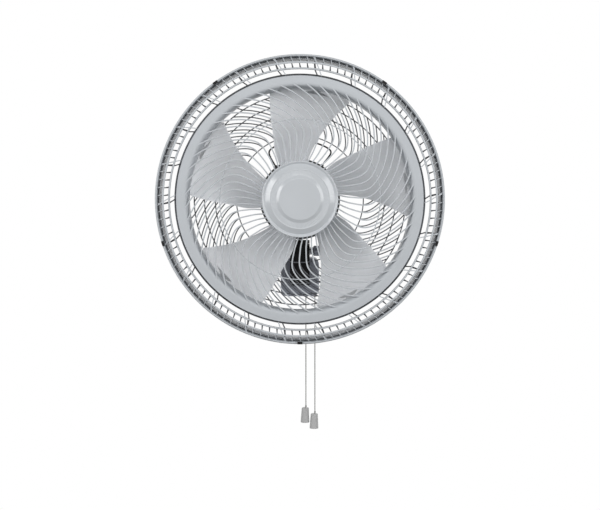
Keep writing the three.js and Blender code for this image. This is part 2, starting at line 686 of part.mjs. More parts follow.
// Front shell with the boss that the guard sits on and four posts that hold the stator.
function motorFrontShell() {
  const rear = MOTOR_REAR + MOTOR_SPLIT + GAP;
  const seat = BEARING_R + GAP;
  const shell = turned([
    [MOTOR_R, rear], [MOTOR_R, MOTOR_FRONT - 6], [MOTOR_R - 6, MOTOR_FRONT],
    [NECK_BOSS_R, MOTOR_FRONT], [NECK_BOSS_R, NECK_BOSS_V],
    [seat, NECK_BOSS_V], [seat, NECK_BOSS_V - BEARING_LENGTH - GAP],
    [SHAFT_R + RUN, NECK_BOSS_V - BEARING_LENGTH - GAP], [SHAFT_R + RUN, MOTOR_FRONT - MOTOR_WALL],
    [MOTOR_R - 6, MOTOR_FRONT - MOTOR_WALL], [MOTOR_R - MOTOR_WALL, MOTOR_FRONT - 7],
    [MOTOR_R - MOTOR_WALL, rear],
  ]);
  const r = STATOR_R - 5;
  const posts = [45, 135, 225, 315].map((angle) => {
    const { x, z } = polar(r, angle, 0);
    const back = STATOR_V + STATOR_LENGTH + GAP;
    return rod(4, [x, back, z], [x, MOTOR_FRONT - MOTOR_WALL + 1, z], 8);
  });
  return join(shell, posts);
}

const statorCore = () =>
  ring(ROTOR_R + AIR_GAP, STATOR_R, STATOR_V, STATOR_V + STATOR_LENGTH);

// One end of the stator's winding.
function winding(from, to) {
  const [inner, outer] = [ROTOR_R + 2, STATOR_R - 10];
  return turned([
    [inner, from], [outer, from], [outer, between(from, to, 0.7)], [outer - 3, to], [inner, to],
  ], SMALL);
}

// Shaft from the worm in the gearbox to the thread that holds the impeller.
function motorShaft() {
  const back = CRANK_V - WHEEL_R + 2;
  const worm = CRANK_V + WHEEL_R;
  return turned([
    [0, back], [WORM_R - GAP, back], [WORM_R - GAP, worm], [SHAFT_R, worm + 2],
    [SHAFT_R, SHAFT_END], [0, SHAFT_END],
  ], FINE);
}

const rotor = () =>
  ring(SHAFT_R + GAP, ROTOR_R, STATOR_V, STATOR_V + STATOR_LENGTH);

const bearing = (v0) =>
  ring(SHAFT_R + GAP, BEARING_R, v0, v0 + BEARING_LENGTH - GAP, BORE);

// Bent rod over the motor: two legs and an arc between them.
function carryHandle() {
  const v = MOTOR_REAR + HANDLE_V;
  const foot = MOTOR_R + 2;
  const bend = 10;
  const outline = new THREE.Path();
  const up = (r, angle) => [r * Math.sin(angle * DEG), r * Math.cos(angle * DEG)];
  const turn = (bend / HANDLE_R) / DEG;
  outline.moveTo(...up(foot, -HANDLE_SPAN));
  outline.lineTo(...up(HANDLE_R - bend, -HANDLE_SPAN));
  outline.quadraticCurveTo(...up(HANDLE_R, -HANDLE_SPAN), ...up(HANDLE_R, turn - HANDLE_SPAN));
  outline.absarc(0, 0, HANDLE_R, (90 + HANDLE_SPAN - turn) * DEG, (90 - HANDLE_SPAN + turn) * DEG, true);
  outline.quadraticCurveTo(...up(HANDLE_R, HANDLE_SPAN), ...up(HANDLE_R - bend, HANDLE_SPAN));
  outline.lineTo(...up(foot, HANDLE_SPAN));
  const line = new Line((t) => {
    const point = outline.getPointAt(t);
    return new THREE.Vector3(point.x, -v, point.y);
  });
  const section = new THREE.Shape().absarc(0, 0, HANDLE_THICK / 2, 0, 360 * DEG);
  return solid(new THREE.ExtrudeGeometry(section, { steps: 22, curveSegments: 3, extrudePath: line }));
}

// ---------------------------------------------------------------- guards
// Angle of a spoke at a radius: the two slopes meet in a soft bend.
function spokeAngle(r) {
  const past = (r - BEND_R) / BEND_SOFTNESS;
  const soft = BEND_SOFTNESS * Math.log(1 + Math.exp(past));
  return BEND_ANGLE + INNER_TURN * (r - BEND_R) + (OUTER_TURN - INNER_TURN) * soft;
}

// How fast that angle changes, in degrees per mm.
function spokeTurn(r) {
  const share = 1 / (1 + Math.exp((BEND_R - r) / BEND_SOFTNESS));
  return between(INNER_TURN, OUTER_TURN, share);
}

// One edge of a spoke between two radii, with its points close together in the bend.
function spokeEdge(side, from, to, steps) {
  const spread = 30;
  const [a, b] = [from, to].map((r) => Math.asinh((r - BEND_R) / spread));
  return Array.from({ length: steps + 1 }, (_, i) => {
    const r = BEND_R + spread * Math.sinh(between(a, b, i / steps));
    const slant = Math.hypot(1, r * spokeTurn(r) * DEG);
    const half = (slant * SPOKE_WIDTH) / 2 / r / DEG;
    return [r, spokeAngle(r) + side * half];
  });
}

// A flat grille: rings given as [inner, outer] radii, with the S-shaped spokes between them.
function grille(rings, steps, v0, v1) {
  const flat = ([r, angle]) => new THREE.Vector2(r * Math.sin(angle * DEG), r * Math.cos(angle * DEG));
  const pitch = 360 / SPOKES;
  const circle = (r) => Array.from({ length: SPOKES }, (_, i) => flat([r, -i * pitch]));
  const shape = new THREE.Shape(circle(rings.at(-1)[1]));
  shape.holes.push(new THREE.Path(circle(rings[0][0])));
  for (let i = 1; i < rings.length; i += 1) {
    const [from, to] = [rings[i - 1][1], rings[i][0]];
    const left = spokeEdge(1, from, to, steps[i - 1]);
    const right = spokeEdge(-1, from, to, steps[i - 1]).map(([r, angle]) => [r, angle + pitch]);
    for (let k = 0; k < SPOKES; k += 1) {
      const opening = [...left, ...right.slice().reverse()].map(([r, angle]) => flat([r, angle + k * pitch]));
      shape.holes.push(new THREE.Path(opening));
    }
  }
  return plate(shape, v0, v1);
}

// A straight line in radius, angle and distance from the wall.
const ribLine = (start, end) => (t) =>
  polar(...start.map((value, i) => between(value, end[i], t)));

// Straight pieces from each knot to the next.
function throughKnots(knots) {
  const pieces = knots.length - 1;
  return (t) => {
    const i = Math.min(Math.floor(t * pieces), pieces - 1);
    return ribLine(knots[i], knots[i + 1])(t * pieces - i);
  };
}

// Notches in the rim that the clips lie in.
function clipNotches() {
  const floor = CLIP_PIVOT_R - CLIP_THICK / 2 - GAP;
  const half = CLIP_WIDTH / 2 + GAP;
  const notch = new THREE.BoxGeometry(2 * half, RIM_DEPTH + REAR_RIM_DEPTH + 4, 10);
  const middle = FRONT_V - (RIM_DEPTH + REAR_RIM_DEPTH) / 2;
  return around(notch.translate(0, -middle, floor + 5), CLIPS, CLIP_ANGLE);
}

// Front guard: rolled rim, bell mouth, grille, and the ribs and ring that tie them.
function frontGuard() {
  const rim = turned([
    [RIM_R - RIM_WIDTH, FRONT_V], [RIM_R - 2, FRONT_V], [RIM_R, FRONT_V - 2],
    [RIM_R, FRONT_V - RIM_DEPTH], [RIM_R - RIM_WIDTH, FRONT_V - RIM_DEPTH],
  ], ROUND);
  const outerRing = ring(
    OUTER_RING_R - OUTER_RING_WIDTH, OUTER_RING_R, FRONT_V - OUTER_RING_DEPTH, FRONT_V, ROUND,
  );
  const edge = BAND_EDGE_R + 1;
  const bend = FRONT_V - SPOKE_DEPTH - GAP;
  const band = turned([
    [BAND_R, FRONT_V - BAND_SKIRT], [BAND_R, FRONT_V], [edge, FRONT_V],
    ...quarter(edge, bend, edge - LIP_R, LIP_DEPTH - SPOKE_DEPTH),
    ...quarter(edge + BAND_WALL, bend, edge - LIP_R, LIP_DEPTH - SPOKE_DEPTH, 2).reverse(),
    [BAND_R - BAND_WALL, FRONT_V - BAND_WALL], [BAND_R - BAND_WALL, FRONT_V - BAND_SKIRT],
  ], SPOKES);
  const rings = [
    [HUB_RING_R - HUB_RING_WIDTH, HUB_RING_R],
    [THIN_RING_R - THIN_RING_WIDTH / 2, THIN_RING_R + THIN_RING_WIDTH / 2],
    [BAND_EDGE_R, edge + BAND_WALL / 2],
  ];
  const front = FRONT_V - GAP;
  const spokes = grille(rings, [3, 2], front - SPOKE_DEPTH, front);
  const ribs = swept(
    ridge(SPOKE_WIDTH, RIB_DEPTH),
    ribLine([BAND_R - 1, 10.05, front], [RIM_R - RIM_WIDTH + 1, 5.85, front]), 1, LINK_RIBS,
  );
  return join(rim, outerRing, band, spokes, ribs).subtract(join(clipNotches()));
}

// Rear basket: rim, hoop, stepped rings, grille and the arms to the flange on the motor.
function rearGuard() {
  const rimFront = FRONT_V - RIM_DEPTH - GAP;
  const rimBack = rimFront - REAR_RIM_DEPTH;
  const hoopBack = FRONT_V - HOOP_DEPTH;
  const hoopR = RIM_R - RIM_WIDTH;
  const hoop = turned([
    [hoopR - HOOP_WALL, rimFront], [RIM_R, rimFront], [RIM_R, rimBack], [hoopR, rimBack],
    [hoopR, hoopBack], [hoopR - HOOP_WALL, hoopBack],
  ], ROUND);
  const outerRing = ring(
    REAR_OUTER_RING_R - REAR_OUTER_RING_WIDTH, REAR_OUTER_RING_R, hoopBack - 1, hoopBack + 5, ROUND,
  );
  const stepV = FRONT_V - REAR_STEP_DEPTH;
  const stepRing = ring(REAR_STEP_R - 1.5, REAR_STEP_R + 1.5, stepV - 4, stepV + 1, ROUND);
  const half = REAR_RING_WIDTH / 2;
  const rings = [[REAR_INNER_R - half, REAR_INNER_R + half], [REAR_OUTER_R - half, REAR_OUTER_R + half]];
  const spokes = grille(rings, [3], REAR_V - REAR_SPOKE_DEPTH, REAR_V);
  const rib = ridge(SPOKE_WIDTH, 3);
  const knots = [
    [hoopR - 1, 6.3, hoopBack + 4.5], [REAR_OUTER_RING_R - 2, 6.5, hoopBack + 3.5],
    [REAR_STEP_R, 8, stepV], [REAR_OUTER_R, 16.5, REAR_V - 0.5],
  ];
  const ribs = swept(rib, throughKnots(knots), knots.length - 1, LINK_RIBS);
  const flangeBack = MOTOR_FRONT + GAP;
  const flangeFront = flangeBack + GUARD_FLANGE;
  const flange = ring(NECK_BOSS_R + GAP, GUARD_FLANGE_R, flangeBack, flangeFront, MEDIUM);
  const arm = new THREE.BoxGeometry(8, GUARD_FLANGE, REAR_INNER_R - GUARD_FLANGE_R + 3);
  arm.translate(0, -(flangeBack + flangeFront) / 2, (REAR_INNER_R + GUARD_FLANGE_R) / 2);
  const arms = around(arm, GUARD_ARMS, GUARD_ARM_ANGLE);
  const pin = new THREE.CylinderGeometry(CLIP_PIN_R, CLIP_PIN_R, CLIP_WIDTH + 2, 6).rotateZ(90 * DEG);
  const pins = around(pin.translate(0, CLIP_LENGTH - FRONT_V, CLIP_PIVOT_R), CLIPS, CLIP_ANGLE);
  const basket = join(hoop, outerRing, stepRing, spokes, ribs, flange, arms);
  return join(basket.subtract(join(clipNotches())), pins);
}

// Ring nut that clamps the rear guard to the motor's boss.
function guardNut() {
  const back = MOTOR_FRONT + GUARD_FLANGE + 2 * GAP;
  const grip = Array.from({ length: 8 }, (_, i) => {
    const { x, z } = polar(NUT_R, i * 45, 0);
    return rod(2.5, [x, back - 1, z], [x, back + NUT_LENGTH + 1, z], 6);
  });
  return ring(NECK_BOSS_R + GAP, NUT_R, back, back + NUT_LENGTH, MEDIUM).subtract(join(grip));
}

// Round cap: flat rim, groove, convex shoulder, ribbed ring and a raised disc.
function centreCap() {
  const back = FRONT_V + GAP;
  const spigot = HUB_RING_R - HUB_RING_WIDTH - GAP;
  // radii and shares of the cap's height
  const inside = [
    [0, 0.85], [CAP_DISC_R - 5, 0.8], [CAP_FLUTES_R - 0.5, 0.57], [spigot - 3.7, 0.2],
    [spigot - CAP_WALL, -0.23], [spigot, -0.23], [spigot, 0],
  ];
  const face = [
    [CAP_R, 0], [CAP_R, 0.23], [CAP_R - CAP_WALL, 0.31], [CAP_R - 2 * CAP_WALL, 0.2],
    [CAP_GROOVE_R, 0.2], [CAP_GROOVE_R - 1.8, 0.51], [CAP_FLUTES_R + 1, 0.8], [CAP_FLUTES_R, 0.71],
    [CAP_DISC_R + 0.6, 0.77], [CAP_DISC_R - 0.5, 0.94], [CAP_DISC_R - 5, 1], [0, 0.97],
  ];
  return turned([...inside, ...face].map(([r, share]) => [r, back + share * CAP_HEIGHT]), 24);
}

// A clip: a bar along the rim's edge, hinged at its rear end, with a lip over the front rim.
function clip(angle) {
  const inner = CLIP_PIVOT_R - CLIP_THICK / 2;
  const outer = CLIP_PIVOT_R + CLIP_THICK / 2;
  const pivotV = FRONT_V - CLIP_LENGTH;
  const front = FRONT_V + GAP;
  const lip = RIM_R - RIM_WIDTH + 0.2;
  const side = new THREE.Shape();
  side.absarc(pivotV, CLIP_PIVOT_R, CLIP_THICK / 2, 90 * DEG, 270 * DEG);
  side.lineTo(front, inner);
  side.lineTo(front, lip);
  side.lineTo(front + CLIP_LIP, lip);
  side.lineTo(front + CLIP_LIP, outer - 0.8);
  side.lineTo(front + CLIP_LIP - 0.8, outer);
  const bar = slab(side, -CLIP_WIDTH / 2, CLIP_WIDTH / 2, 4);
  const half = CLIP_WIDTH / 2 + 1;
  const bore = rod(CLIP_PIN_R + GAP, [-half, pivotV, CLIP_PIVOT_R], [half, pivotV, CLIP_PIVOT_R], 8);
  const piece = mesh(`guard_clip_${Math.round((angle - CLIP_ANGLE) / 72) + 1}`, bar.subtract(bore), black);
  piece.rotation.y = angle * DEG;
  return piece;
}

// ---------------------------------------------------------------- impeller
// One blade, as a sheet over radius and chord: its leading edge lies deeper than its trailing one.
function blade() {
  const [root, shoulder] = [HUB_R - 2, TIP_R - 4];
  const radii = [...[0, 0.27, 0.54, 0.81, 1].map((t) => between(root, shoulder, t)), TIP_R];
  const chord = 4;
  const points = [];
  for (const side of [0.5, -0.5]) {
    for (const r of radii) {
      const out = (r - HUB_R) / (TIP_R - HUB_R);
      const round = r === TIP_R ? 3 : 0;
      const trailing = -34 + 0.113 * (r - HUB_R) + round;
      const leading = 7.7 + 0.124 * (r - HUB_R) - round;
      const front = between(HUB_FRONT - 5, HUB_FRONT, out);
      const rear = between(HUB_REAR + 4, HUB_REAR + 18, out);
      for (let i = 0; i <= chord; i += 1) {
        const t = i / chord;
        const camber = 5 * Math.sin(Math.PI * t);
        points.push(polar(r, between(trailing, leading, t), between(front, rear, t) + camber + side * BLADE_THICK));
      }
    }
  }
  const row = chord + 1;
  const layerSize = row * radii.length;
  const faces = [];
  const quad = (a, b, c, d) => faces.push(a, c, b, a, d, c);
  for (let i = 0; i < radii.length - 1; i += 1) {
    for (let j = 0; j < chord; j += 1) {
      const a = i * row + j;
      quad(a, a + row, a + row + 1, a + 1);
      quad(layerSize + a, layerSize + a + 1, layerSize + a + row + 1, layerSize + a + row);
    }
    const [first, last] = [i * row, i * row + chord];
    quad(first, layerSize + first, layerSize + first + row, first + row);
    quad(last, last + row, layerSize + last + row, layerSize + last);
  }
  for (let j = 0; j < chord; j += 1) {
    const tip = (radii.length - 1) * row + j;
    quad(j, j + 1, layerSize + j + 1, layerSize + j);
    quad(tip, layerSize + tip, layerSize + tip + 1, tip + 1);
  }
  const geometry = new THREE.BufferGeometry().setFromPoints(points);
  geometry.setIndex(faces);
  return geometry;
}

function impeller() {
  const hub = turned([
    [SHAFT_R + GAP, HUB_FRONT], [HUB_R - 6, HUB_FRONT], [HUB_R, HUB_FRONT - 6], [HUB_R, HUB_REAR],
    [HUB_R - HUB_WALL, HUB_REAR], [HUB_R - HUB_WALL, HUB_FRONT - 7], [HUB_R - 8, HUB_FRONT - HUB_WALL],
    [10, HUB_FRONT - HUB_WALL], [10, HUB_REAR + 10], [SHAFT_R + GAP, HUB_REAR + 10],
  ]);
  return join(hub, around(blade(), BLADES));
}

function spinnerNut() {
  const back = HUB_FRONT + GAP;
  return turned([
    [0, SHAFT_END + RUN], [SHAFT_R + GAP, SHAFT_END + RUN], [SHAFT_R + GAP, back],
    [16, back], [15, back + 5], [9, back + 13], [0, back + 15],
  ], SMALL);
}

// ---------------------------------------------------------------- the fan
const stand = new THREE.Group();
stand.add(
  mesh("wall_plate", wallPlate(), steel),
  mesh("base_screw_top", baseScrew(1), steel),
  mesh("base_screw_bottom", baseScrew(-1), steel),
  mesh("base_housing", baseHousing(), slate),
  mesh("speed_switch", pullSwitch(SPEED_SWITCH, SPEED_CORD_X), gearWhite),
  mesh("swing_switch", pullSwitch(SWING_SWITCH, SWING_CORD_X), gearWhite),
  mesh("capacitor", seated(CAPACITOR, CAPACITOR_DEPTH, BLOCK_X, BASE_HALF - CAPACITOR_DROP), black),
  mesh("terminal_block", terminals(), gearWhite),
  mesh("cable_gland", bush(INLET_X, INLET_V, INLET_R, INLET_R + BUSH_WALL), black),
  mesh("speed_cord_bush", bush(SPEED_CORD_X, CORD_V, CORD_R + RUN, BUSH_R), black),
  mesh("swing_cord_bush", bush(SWING_CORD_X, CORD_V, CORD_R + RUN, BUSH_R), black),
  mesh("speed_cord", pullCord(SPEED_CORD_X, SPEED_CORD_DROP), cordGrey),
  mesh("swing_cord", pullCord(SWING_CORD_X, SWING_CORD_DROP), cordGrey),
  mesh("speed_pendant", pendant(SPEED_CORD_X, SPEED_CORD_DROP), pullGrey),
  mesh("swing_pendant", pendant(SWING_CORD_X, SWING_CORD_DROP), pullGrey),
  mesh("neck_arm", neckArm(), black),
  mesh("tilt_bolt", tiltBolt(), steel),
  mesh("tilt_washer", tiltWasher(), steel),
  mesh("tilt_knob", tiltKnob(), slate),
  mesh("tilt_knuckle", tiltKnuckle(), black),
  mesh("swing_spindle", swingSpindle(), steel),
  mesh("retaining_ring", retainingRing(), steel),
  mesh("crank_wheel", crankWheel(), steel),
  mesh("worm_wheel", wormWheel(), gearWhite),
  mesh("link_arm", linkArm(), steel),
  mesh("gearbox_housing", gearboxHousing(), black),
);

const head = new THREE.Group();
head.position.z = AXIS_Z;
head.add(
  mesh("motor_rear_housing", motorRearHousing(), black),
  mesh("motor_front_shell", motorFrontShell(), black),
  mesh("stator_core", statorCore(), coreSteel),
  mesh("winding_rear", winding(STATOR_V - GAP, STATOR_V - WINDING), copper),
  mesh("winding_front", winding(STATOR_V + STATOR_LENGTH + GAP, STATOR_V + STATOR_LENGTH + WINDING), copper),
  mesh("rotor", rotor(), coreSteel),
  mesh("motor_shaft", motorShaft(), steel),
  mesh("rear_bearing", bearing(MOTOR_REAR), bronze),
  mesh("front_bearing", bearing(NECK_BOSS_V - BEARING_LENGTH), bronze),
  mesh("carry_handle", carryHandle(), black),
  mesh("rear_guard", rearGuard(), shadeGrey),
  mesh("guard_nut", guardNut(), black),
  mesh("front_guard", frontGuard(), lightGrey),
  mesh("centre_cap", centreCap(), lightGrey),
  mesh("impeller", impeller(), bladeGrey),
  mesh("spinner_nut", spinnerNut(), black),
);
for (let i = 0; i < CLIPS; i += 1) head.add(clip(CLIP_ANGLE + (i * 360) / CLIPS));

const fan = new THREE.Group();
fan.add(stand, head);

export default fan;
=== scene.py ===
# %% [markdown]
# # A wall mounted fan
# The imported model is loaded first, as a fixed frame in metres: the wall is the plane y = 0, the
# fan faces -Y and +Z is up. Nearly every piece of a fan is round, so the places below are given
# as a radius from the fan's axis, an angle that runs clockwise from the top, and a depth w
# behind the plane of the front spokes.

import bpy
import numpy as np
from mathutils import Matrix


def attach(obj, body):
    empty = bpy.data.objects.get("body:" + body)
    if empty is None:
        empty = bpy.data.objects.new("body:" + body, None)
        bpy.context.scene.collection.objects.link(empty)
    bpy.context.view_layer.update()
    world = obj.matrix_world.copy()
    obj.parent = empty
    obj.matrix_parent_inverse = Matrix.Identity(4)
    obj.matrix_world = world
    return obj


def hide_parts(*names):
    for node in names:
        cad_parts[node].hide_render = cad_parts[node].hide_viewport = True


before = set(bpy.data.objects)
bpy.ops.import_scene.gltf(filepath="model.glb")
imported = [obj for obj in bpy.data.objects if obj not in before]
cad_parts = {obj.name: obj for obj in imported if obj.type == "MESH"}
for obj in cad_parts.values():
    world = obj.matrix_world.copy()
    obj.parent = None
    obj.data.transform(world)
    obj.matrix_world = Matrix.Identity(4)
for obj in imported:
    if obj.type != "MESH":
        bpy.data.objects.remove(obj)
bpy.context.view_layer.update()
print("nodes in the frame:", len(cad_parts))

MM = 0.001
AXIS_Z = 155.0  # height of the fan's axis
FRONT_V = 278.0  # from the wall to the plane of the front spokes
PIVOT_V, PIVOT_Z = 95.0, 54.0  # the tilt pivot
MOTOR_REAR, MOTOR_FRONT = 110.0, 170.0

# %% [markdown]
# ## Camera
# The photograph looks straight at the fan. The lens is taken to stand two metres before the
# guard, so the rings at the back look a little smaller than they are. The fan sits above the
# middle of the picture, and a shift of the lens does that without tilting the view.

# %% camera
CAMERA_DISTANCE = 2000.0
MM_PER_PIXEL = 1.789
WIDTH, HEIGHT = 600, 510
FAN_X, FAN_Y = 299.9, 199.1

lens = bpy.data.cameras.new("camera")
lens.sensor_width = 36.0
lens.lens = 36.0 * CAMERA_DISTANCE / (MM_PER_PIXEL * WIDTH)
lens.shift_x = (WIDTH / 2 - FAN_X) / WIDTH
lens.shift_y = (FAN_Y - HEIGHT / 2) / WIDTH
camera = bpy.data.objects.new("camera", lens)
camera.location = (0.0, -(FRONT_V + CAMERA_DISTANCE) * MM, AXIS_Z * MM)
camera.rotation_euler = (np.pi / 2, 0.0, 0.0)
bpy.context.scene.collection.objects.link(camera)
bpy.context.scene.camera = camera
print("lens:", round(lens.lens, 1), "mm")

# %% [markdown]
# ## Surfaces from arrays
# A piece is one or more grids of points. A grid is a function of two parameters, such as place
# along a profile and angle round the axis, worked out as one numpy array. Quads join the
# neighbours in the grid, and what is open at an end gets one flat face. The sign of the volume
# says whether the faces point outwards, and if not they are turned round.


# %% from grid to mesh
def skin(grid, around=True, along=False, ends=True):
    """Quads over an (n, m, 3) grid: point (i, j) joins (i + 1, j), (i + 1, j + 1), (i, j + 1)."""
    n, m = grid.shape[:2]
    i = np.arange(n if along else n - 1)[:, None]
    j = np.arange(m if around else m - 1)[None, :]
    k, l = (i + 1) % n, (j + 1) % m
    quads = np.stack([i * m + j, k * m + j, k * m + l, i * m + l], -1).reshape(-1, 4).tolist()
    if ends and not along:
        quads += [list(range(m))[::-1], list(range((n - 1) * m, n * m))]
    points = grid.reshape(-1, 3)
    corners = np.array([face[:3] for face in quads])
    a, b, c = (points[corners[:, s]] for s in range(3))
    middle = points.mean(0)
    volume = np.einsum("ij,ij->i", a - middle, np.cross(b - middle, c - middle))
    if volume.sum() < 0:
        quads = [face[::-1] for face in quads]
    return points, quads


def copies(part, count, start=0.0):
    """The part `count` times round the fan's axis: angle = start + 360 k / count."""
    points, faces = part
    t = np.radians(start + np.arange(count) * 360.0 / count)[:, None]
    x, z = points[None, :, 0], points[None, :, 2] - AXIS_Z * MM
    y = np.broadcast_to(points[None, :, 1], (count, len(points)))
    cos, sin = np.cos(t), np.sin(t)
    turned = np.stack([x * cos + z * sin, y, AXIS_Z * MM - x * sin + z * cos], -1)
    shifted = [[v + k * len(points) for v in face] for k in range(count) for face in faces]
    return turned.reshape(-1, 3), shifted


def piece(name, parts, body, material, replaces=(), smooth=35.0):
    """One object from several (points, faces) parts, shaded smooth but for edges over an angle."""
    points, faces, base = [], [], 0
    for part_points, part_faces in parts:
        points.append(part_points)
        faces += [[v + base for v in face] for face in part_faces]
        base += len(part_points)
    mesh = bpy.data.meshes.new(name)
    mesh.from_pydata(np.concatenate(points).tolist(), [], faces)
    mesh.shade_smooth()
    mesh.set_sharp_from_angle(angle=np.radians(smooth))
    mesh.materials.append(material)
    obj = bpy.data.objects.new(name, mesh)
    bpy.context.scene.collection.objects.link(obj)
    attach(obj, body)
    if replaces:
        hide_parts(*replaces)
    print(name, len(mesh.polygons), "faces")
    return obj


# %% [markdown]
# ## Outlines
# A moulding has a section with soft corners. It is turned round the fan's axis for a ring, or
# carried along a path for a spoke or a rib.


# %% profiles and revolves
def soften(corners, reach, steps=4):
    """Rounds each corner of a closed outline: (1 - t)^2 before + 2 t (1 - t) corner + t^2 after."""
    c = np.asarray(corners, float)
    back, ahead = np.roll(c, 1, 0) - c, np.roll(c, -1, 0) - c
    lengths = [np.linalg.norm(side, axis=1, keepdims=True) for side in (back, ahead)]
    r = np.broadcast_to(np.asarray(reach, float).reshape(-1, 1), (len(c), 1))
    start = c + back / lengths[0] * np.minimum(r, 0.45 * lengths[0])
    end = c + ahead / lengths[1] * np.minimum(r, 0.45 * lengths[1])
    t = np.linspace(0, 1, steps)[None, :, None]
    curve = (1 - t) ** 2 * start[:, None] + 2 * t * (1 - t) * c[:, None] + t**2 * end[:, None]
    return curve.reshape(-1, 2)


def polar(r, angle, w):
    """The point at radius r, angle and depth w: x = r sin, y = w - front, z = axis + r cos."""
    t = np.radians(angle)
    r, t, w = np.broadcast_arrays(r, t, w)
    return np.stack([r * np.sin(t), w - FRONT_V, AXIS_Z + r * np.cos(t)], -1) * MM


def revolve(outline, sides=180, along=True):
    """A ring or disc: each (r, w) of the outline runs round the fan's axis."""
    outline = np.asarray(outline, float)
    angle = np.arange(sides) * 360.0 / sides
    grid = polar(outline[:, :1], angle[None, :], outline[:, 1:])
    return skin(grid, around=True, along=along, ends=not along)


def moulding(path, section, upright=(0.0, -1.0, 0.0)):
    """A section (across, deep) carried along a path: point + across * side + deep * normal."""
    along = np.gradient(path, axis=0)
    along /= np.linalg.norm(along, axis=1, keepdims=True)
    side = np.cross(along, np.array(upright))
    side /= np.linalg.norm(side, axis=1, keepdims=True)
    normal = np.cross(side, along)
    section = np.asarray(section, float) * MM
    grid = (
        path[:, None]
        + side[:, None] * section[None, :, :1]
        + normal[:, None] * section[None, :, 1:]
    )
    return skin(grid)


def rounded_bar(width, depth, reach, steps=3):
    """Section of a moulded rib: `width` across, and `depth` back from its front face."""
    half = width / 2
    corners = [(-half, 0), (half, 0), (half * 0.75, -depth), (-half * 0.75, -depth)]
    return soften(corners, reach, steps)


# %% [markdown]
# ## Finishes
# Moulded plastic is never one flat colour: the tone and the gloss drift a little over a large
# piece, and fine bumps break up the highlights. Each finish is a Principled shader, fed by noise
# on Object coordinates, so the pattern stays at its real size on every piece.

# %% finishes
DRIFT_SCALE = 14.0  # of the slow noise, per metre
BUMP_DEPTH = 0.0002  # of the fine noise, in metres


def linear(code):
    """An sRGB hex colour as linear red, green, blue and alpha."""
    c = np.array([(code >> s) & 255 for s in (16, 8, 0)]) / 255
    return (*np.where(c <= 0.04045, c / 12.92, ((c + 0.055) / 1.055) ** 2.4).tolist(), 1.0)


def finish(name, colour, drift, roughness, gloss_drift=0.06, grain=900.0, bump=0.05,
           metallic=0.0, coat=0.0, shine=0.5, streak=(1.0, 1.0, 1.0)):
    """Principled shader: slow noise drives the colour and the roughness, fine noise the bump."""
    material = bpy.data.materials.new(name)
    material.use_nodes = True
    nodes, links = material.node_tree.nodes, material.node_tree.links
    shader = nodes["Principled BSDF"]
    shader.inputs["Metallic"].default_value = metallic
    shader.inputs["Coat Weight"].default_value = coat
    shader.inputs["Specular IOR Level"].default_value = shine
    place = nodes.new("ShaderNodeTexCoord")
    stretch = nodes.new("ShaderNodeMapping")
    stretch.inputs["Scale"].default_value = streak
    links.new(place.outputs["Object"], stretch.inputs["Vector"])
    slow = nodes.new("ShaderNodeTexNoise")
    slow.inputs["Scale"].default_value = DRIFT_SCALE
    slow.inputs["Detail"].default_value = 4.0
    links.new(stretch.outputs["Vector"], slow.inputs["Vector"])
    tones = nodes.new("ShaderNodeValToRGB")
    tone = np.array(linear(colour)[:3])
    for element, factor, at in zip(tones.color_ramp.elements, (1 - drift, 1 + drift), (0.35, 0.65)):
        element.color = (*np.clip(tone * factor, 0, 1).tolist(), 1.0)
        element.position = at
    links.new(slow.outputs["Fac"], tones.inputs["Fac"])
    links.new(tones.outputs["Color"], shader.inputs["Base Color"])
    fine = nodes.new("ShaderNodeTexNoise")
    fine.inputs["Scale"].default_value = grain
    fine.inputs["Detail"].default_value = 3.0
    links.new(stretch.outputs["Vector"], fine.inputs["Vector"])
    gloss = nodes.new("ShaderNodeMapRange")
    gloss.inputs["To Min"].default_value = roughness - gloss_drift
    gloss.inputs["To Max"].default_value = roughness + gloss_drift
    links.new(slow.outputs["Fac"], gloss.inputs["Value"])
    links.new(gloss.outputs["Result"], shader.inputs["Roughness"])
    relief = nodes.new("ShaderNodeBump")
    relief.inputs["Strength"].default_value = bump
    relief.inputs["Distance"].default_value = BUMP_DEPTH
    links.new(fine.outputs["Fac"], relief.inputs["Height"])
    links.new(relief.outputs["Normal"], shader.inputs["Normal"])
    return material


guard_grey = finish("light_grey_abs", 0xBCC0C4, 0.02, 0.3, gloss_drift=0.04, bump=0.02, shine=0.12)
cap_grey = finish("light_grey_abs_cap", 0xBCC0C4, 0.02, 0.2, gloss_drift=0.03, bump=0.02, shine=0.6)
# painted shade: the hoop gets a darker copy of the guard's light grey, for the shade inside the rim
rear_hoop_painted_shade = finish("light_grey_abs_rear_painted_shade", 0xA6AAAE, 0.02, 0.3, bump=0.03)
# painted shade: the same moulding as the hoop, in a much darker grey for the shade behind the
# blades
rear_basket_painted_shade = finish("rear_grey_abs_painted_shade", 0x66696E, 0.02, 0.4, bump=0.03)
# painted light: the blades get a much lighter grey than the guard, to make up for the guard's shade
# on them
blade_painted_light = finish("blade_abs_painted_light", 0xF0F2F5, 0.02, 0.34, bump=0.03)
case_black = finish("black_paint", 0x151517, 0.12, 0.42, grain=1400.0, bump=0.12, shine=0.2)
plastic_black = finish("black_nylon", 0x0C0C0D, 0.12, 0.48, bump=0.12, shine=0.2)
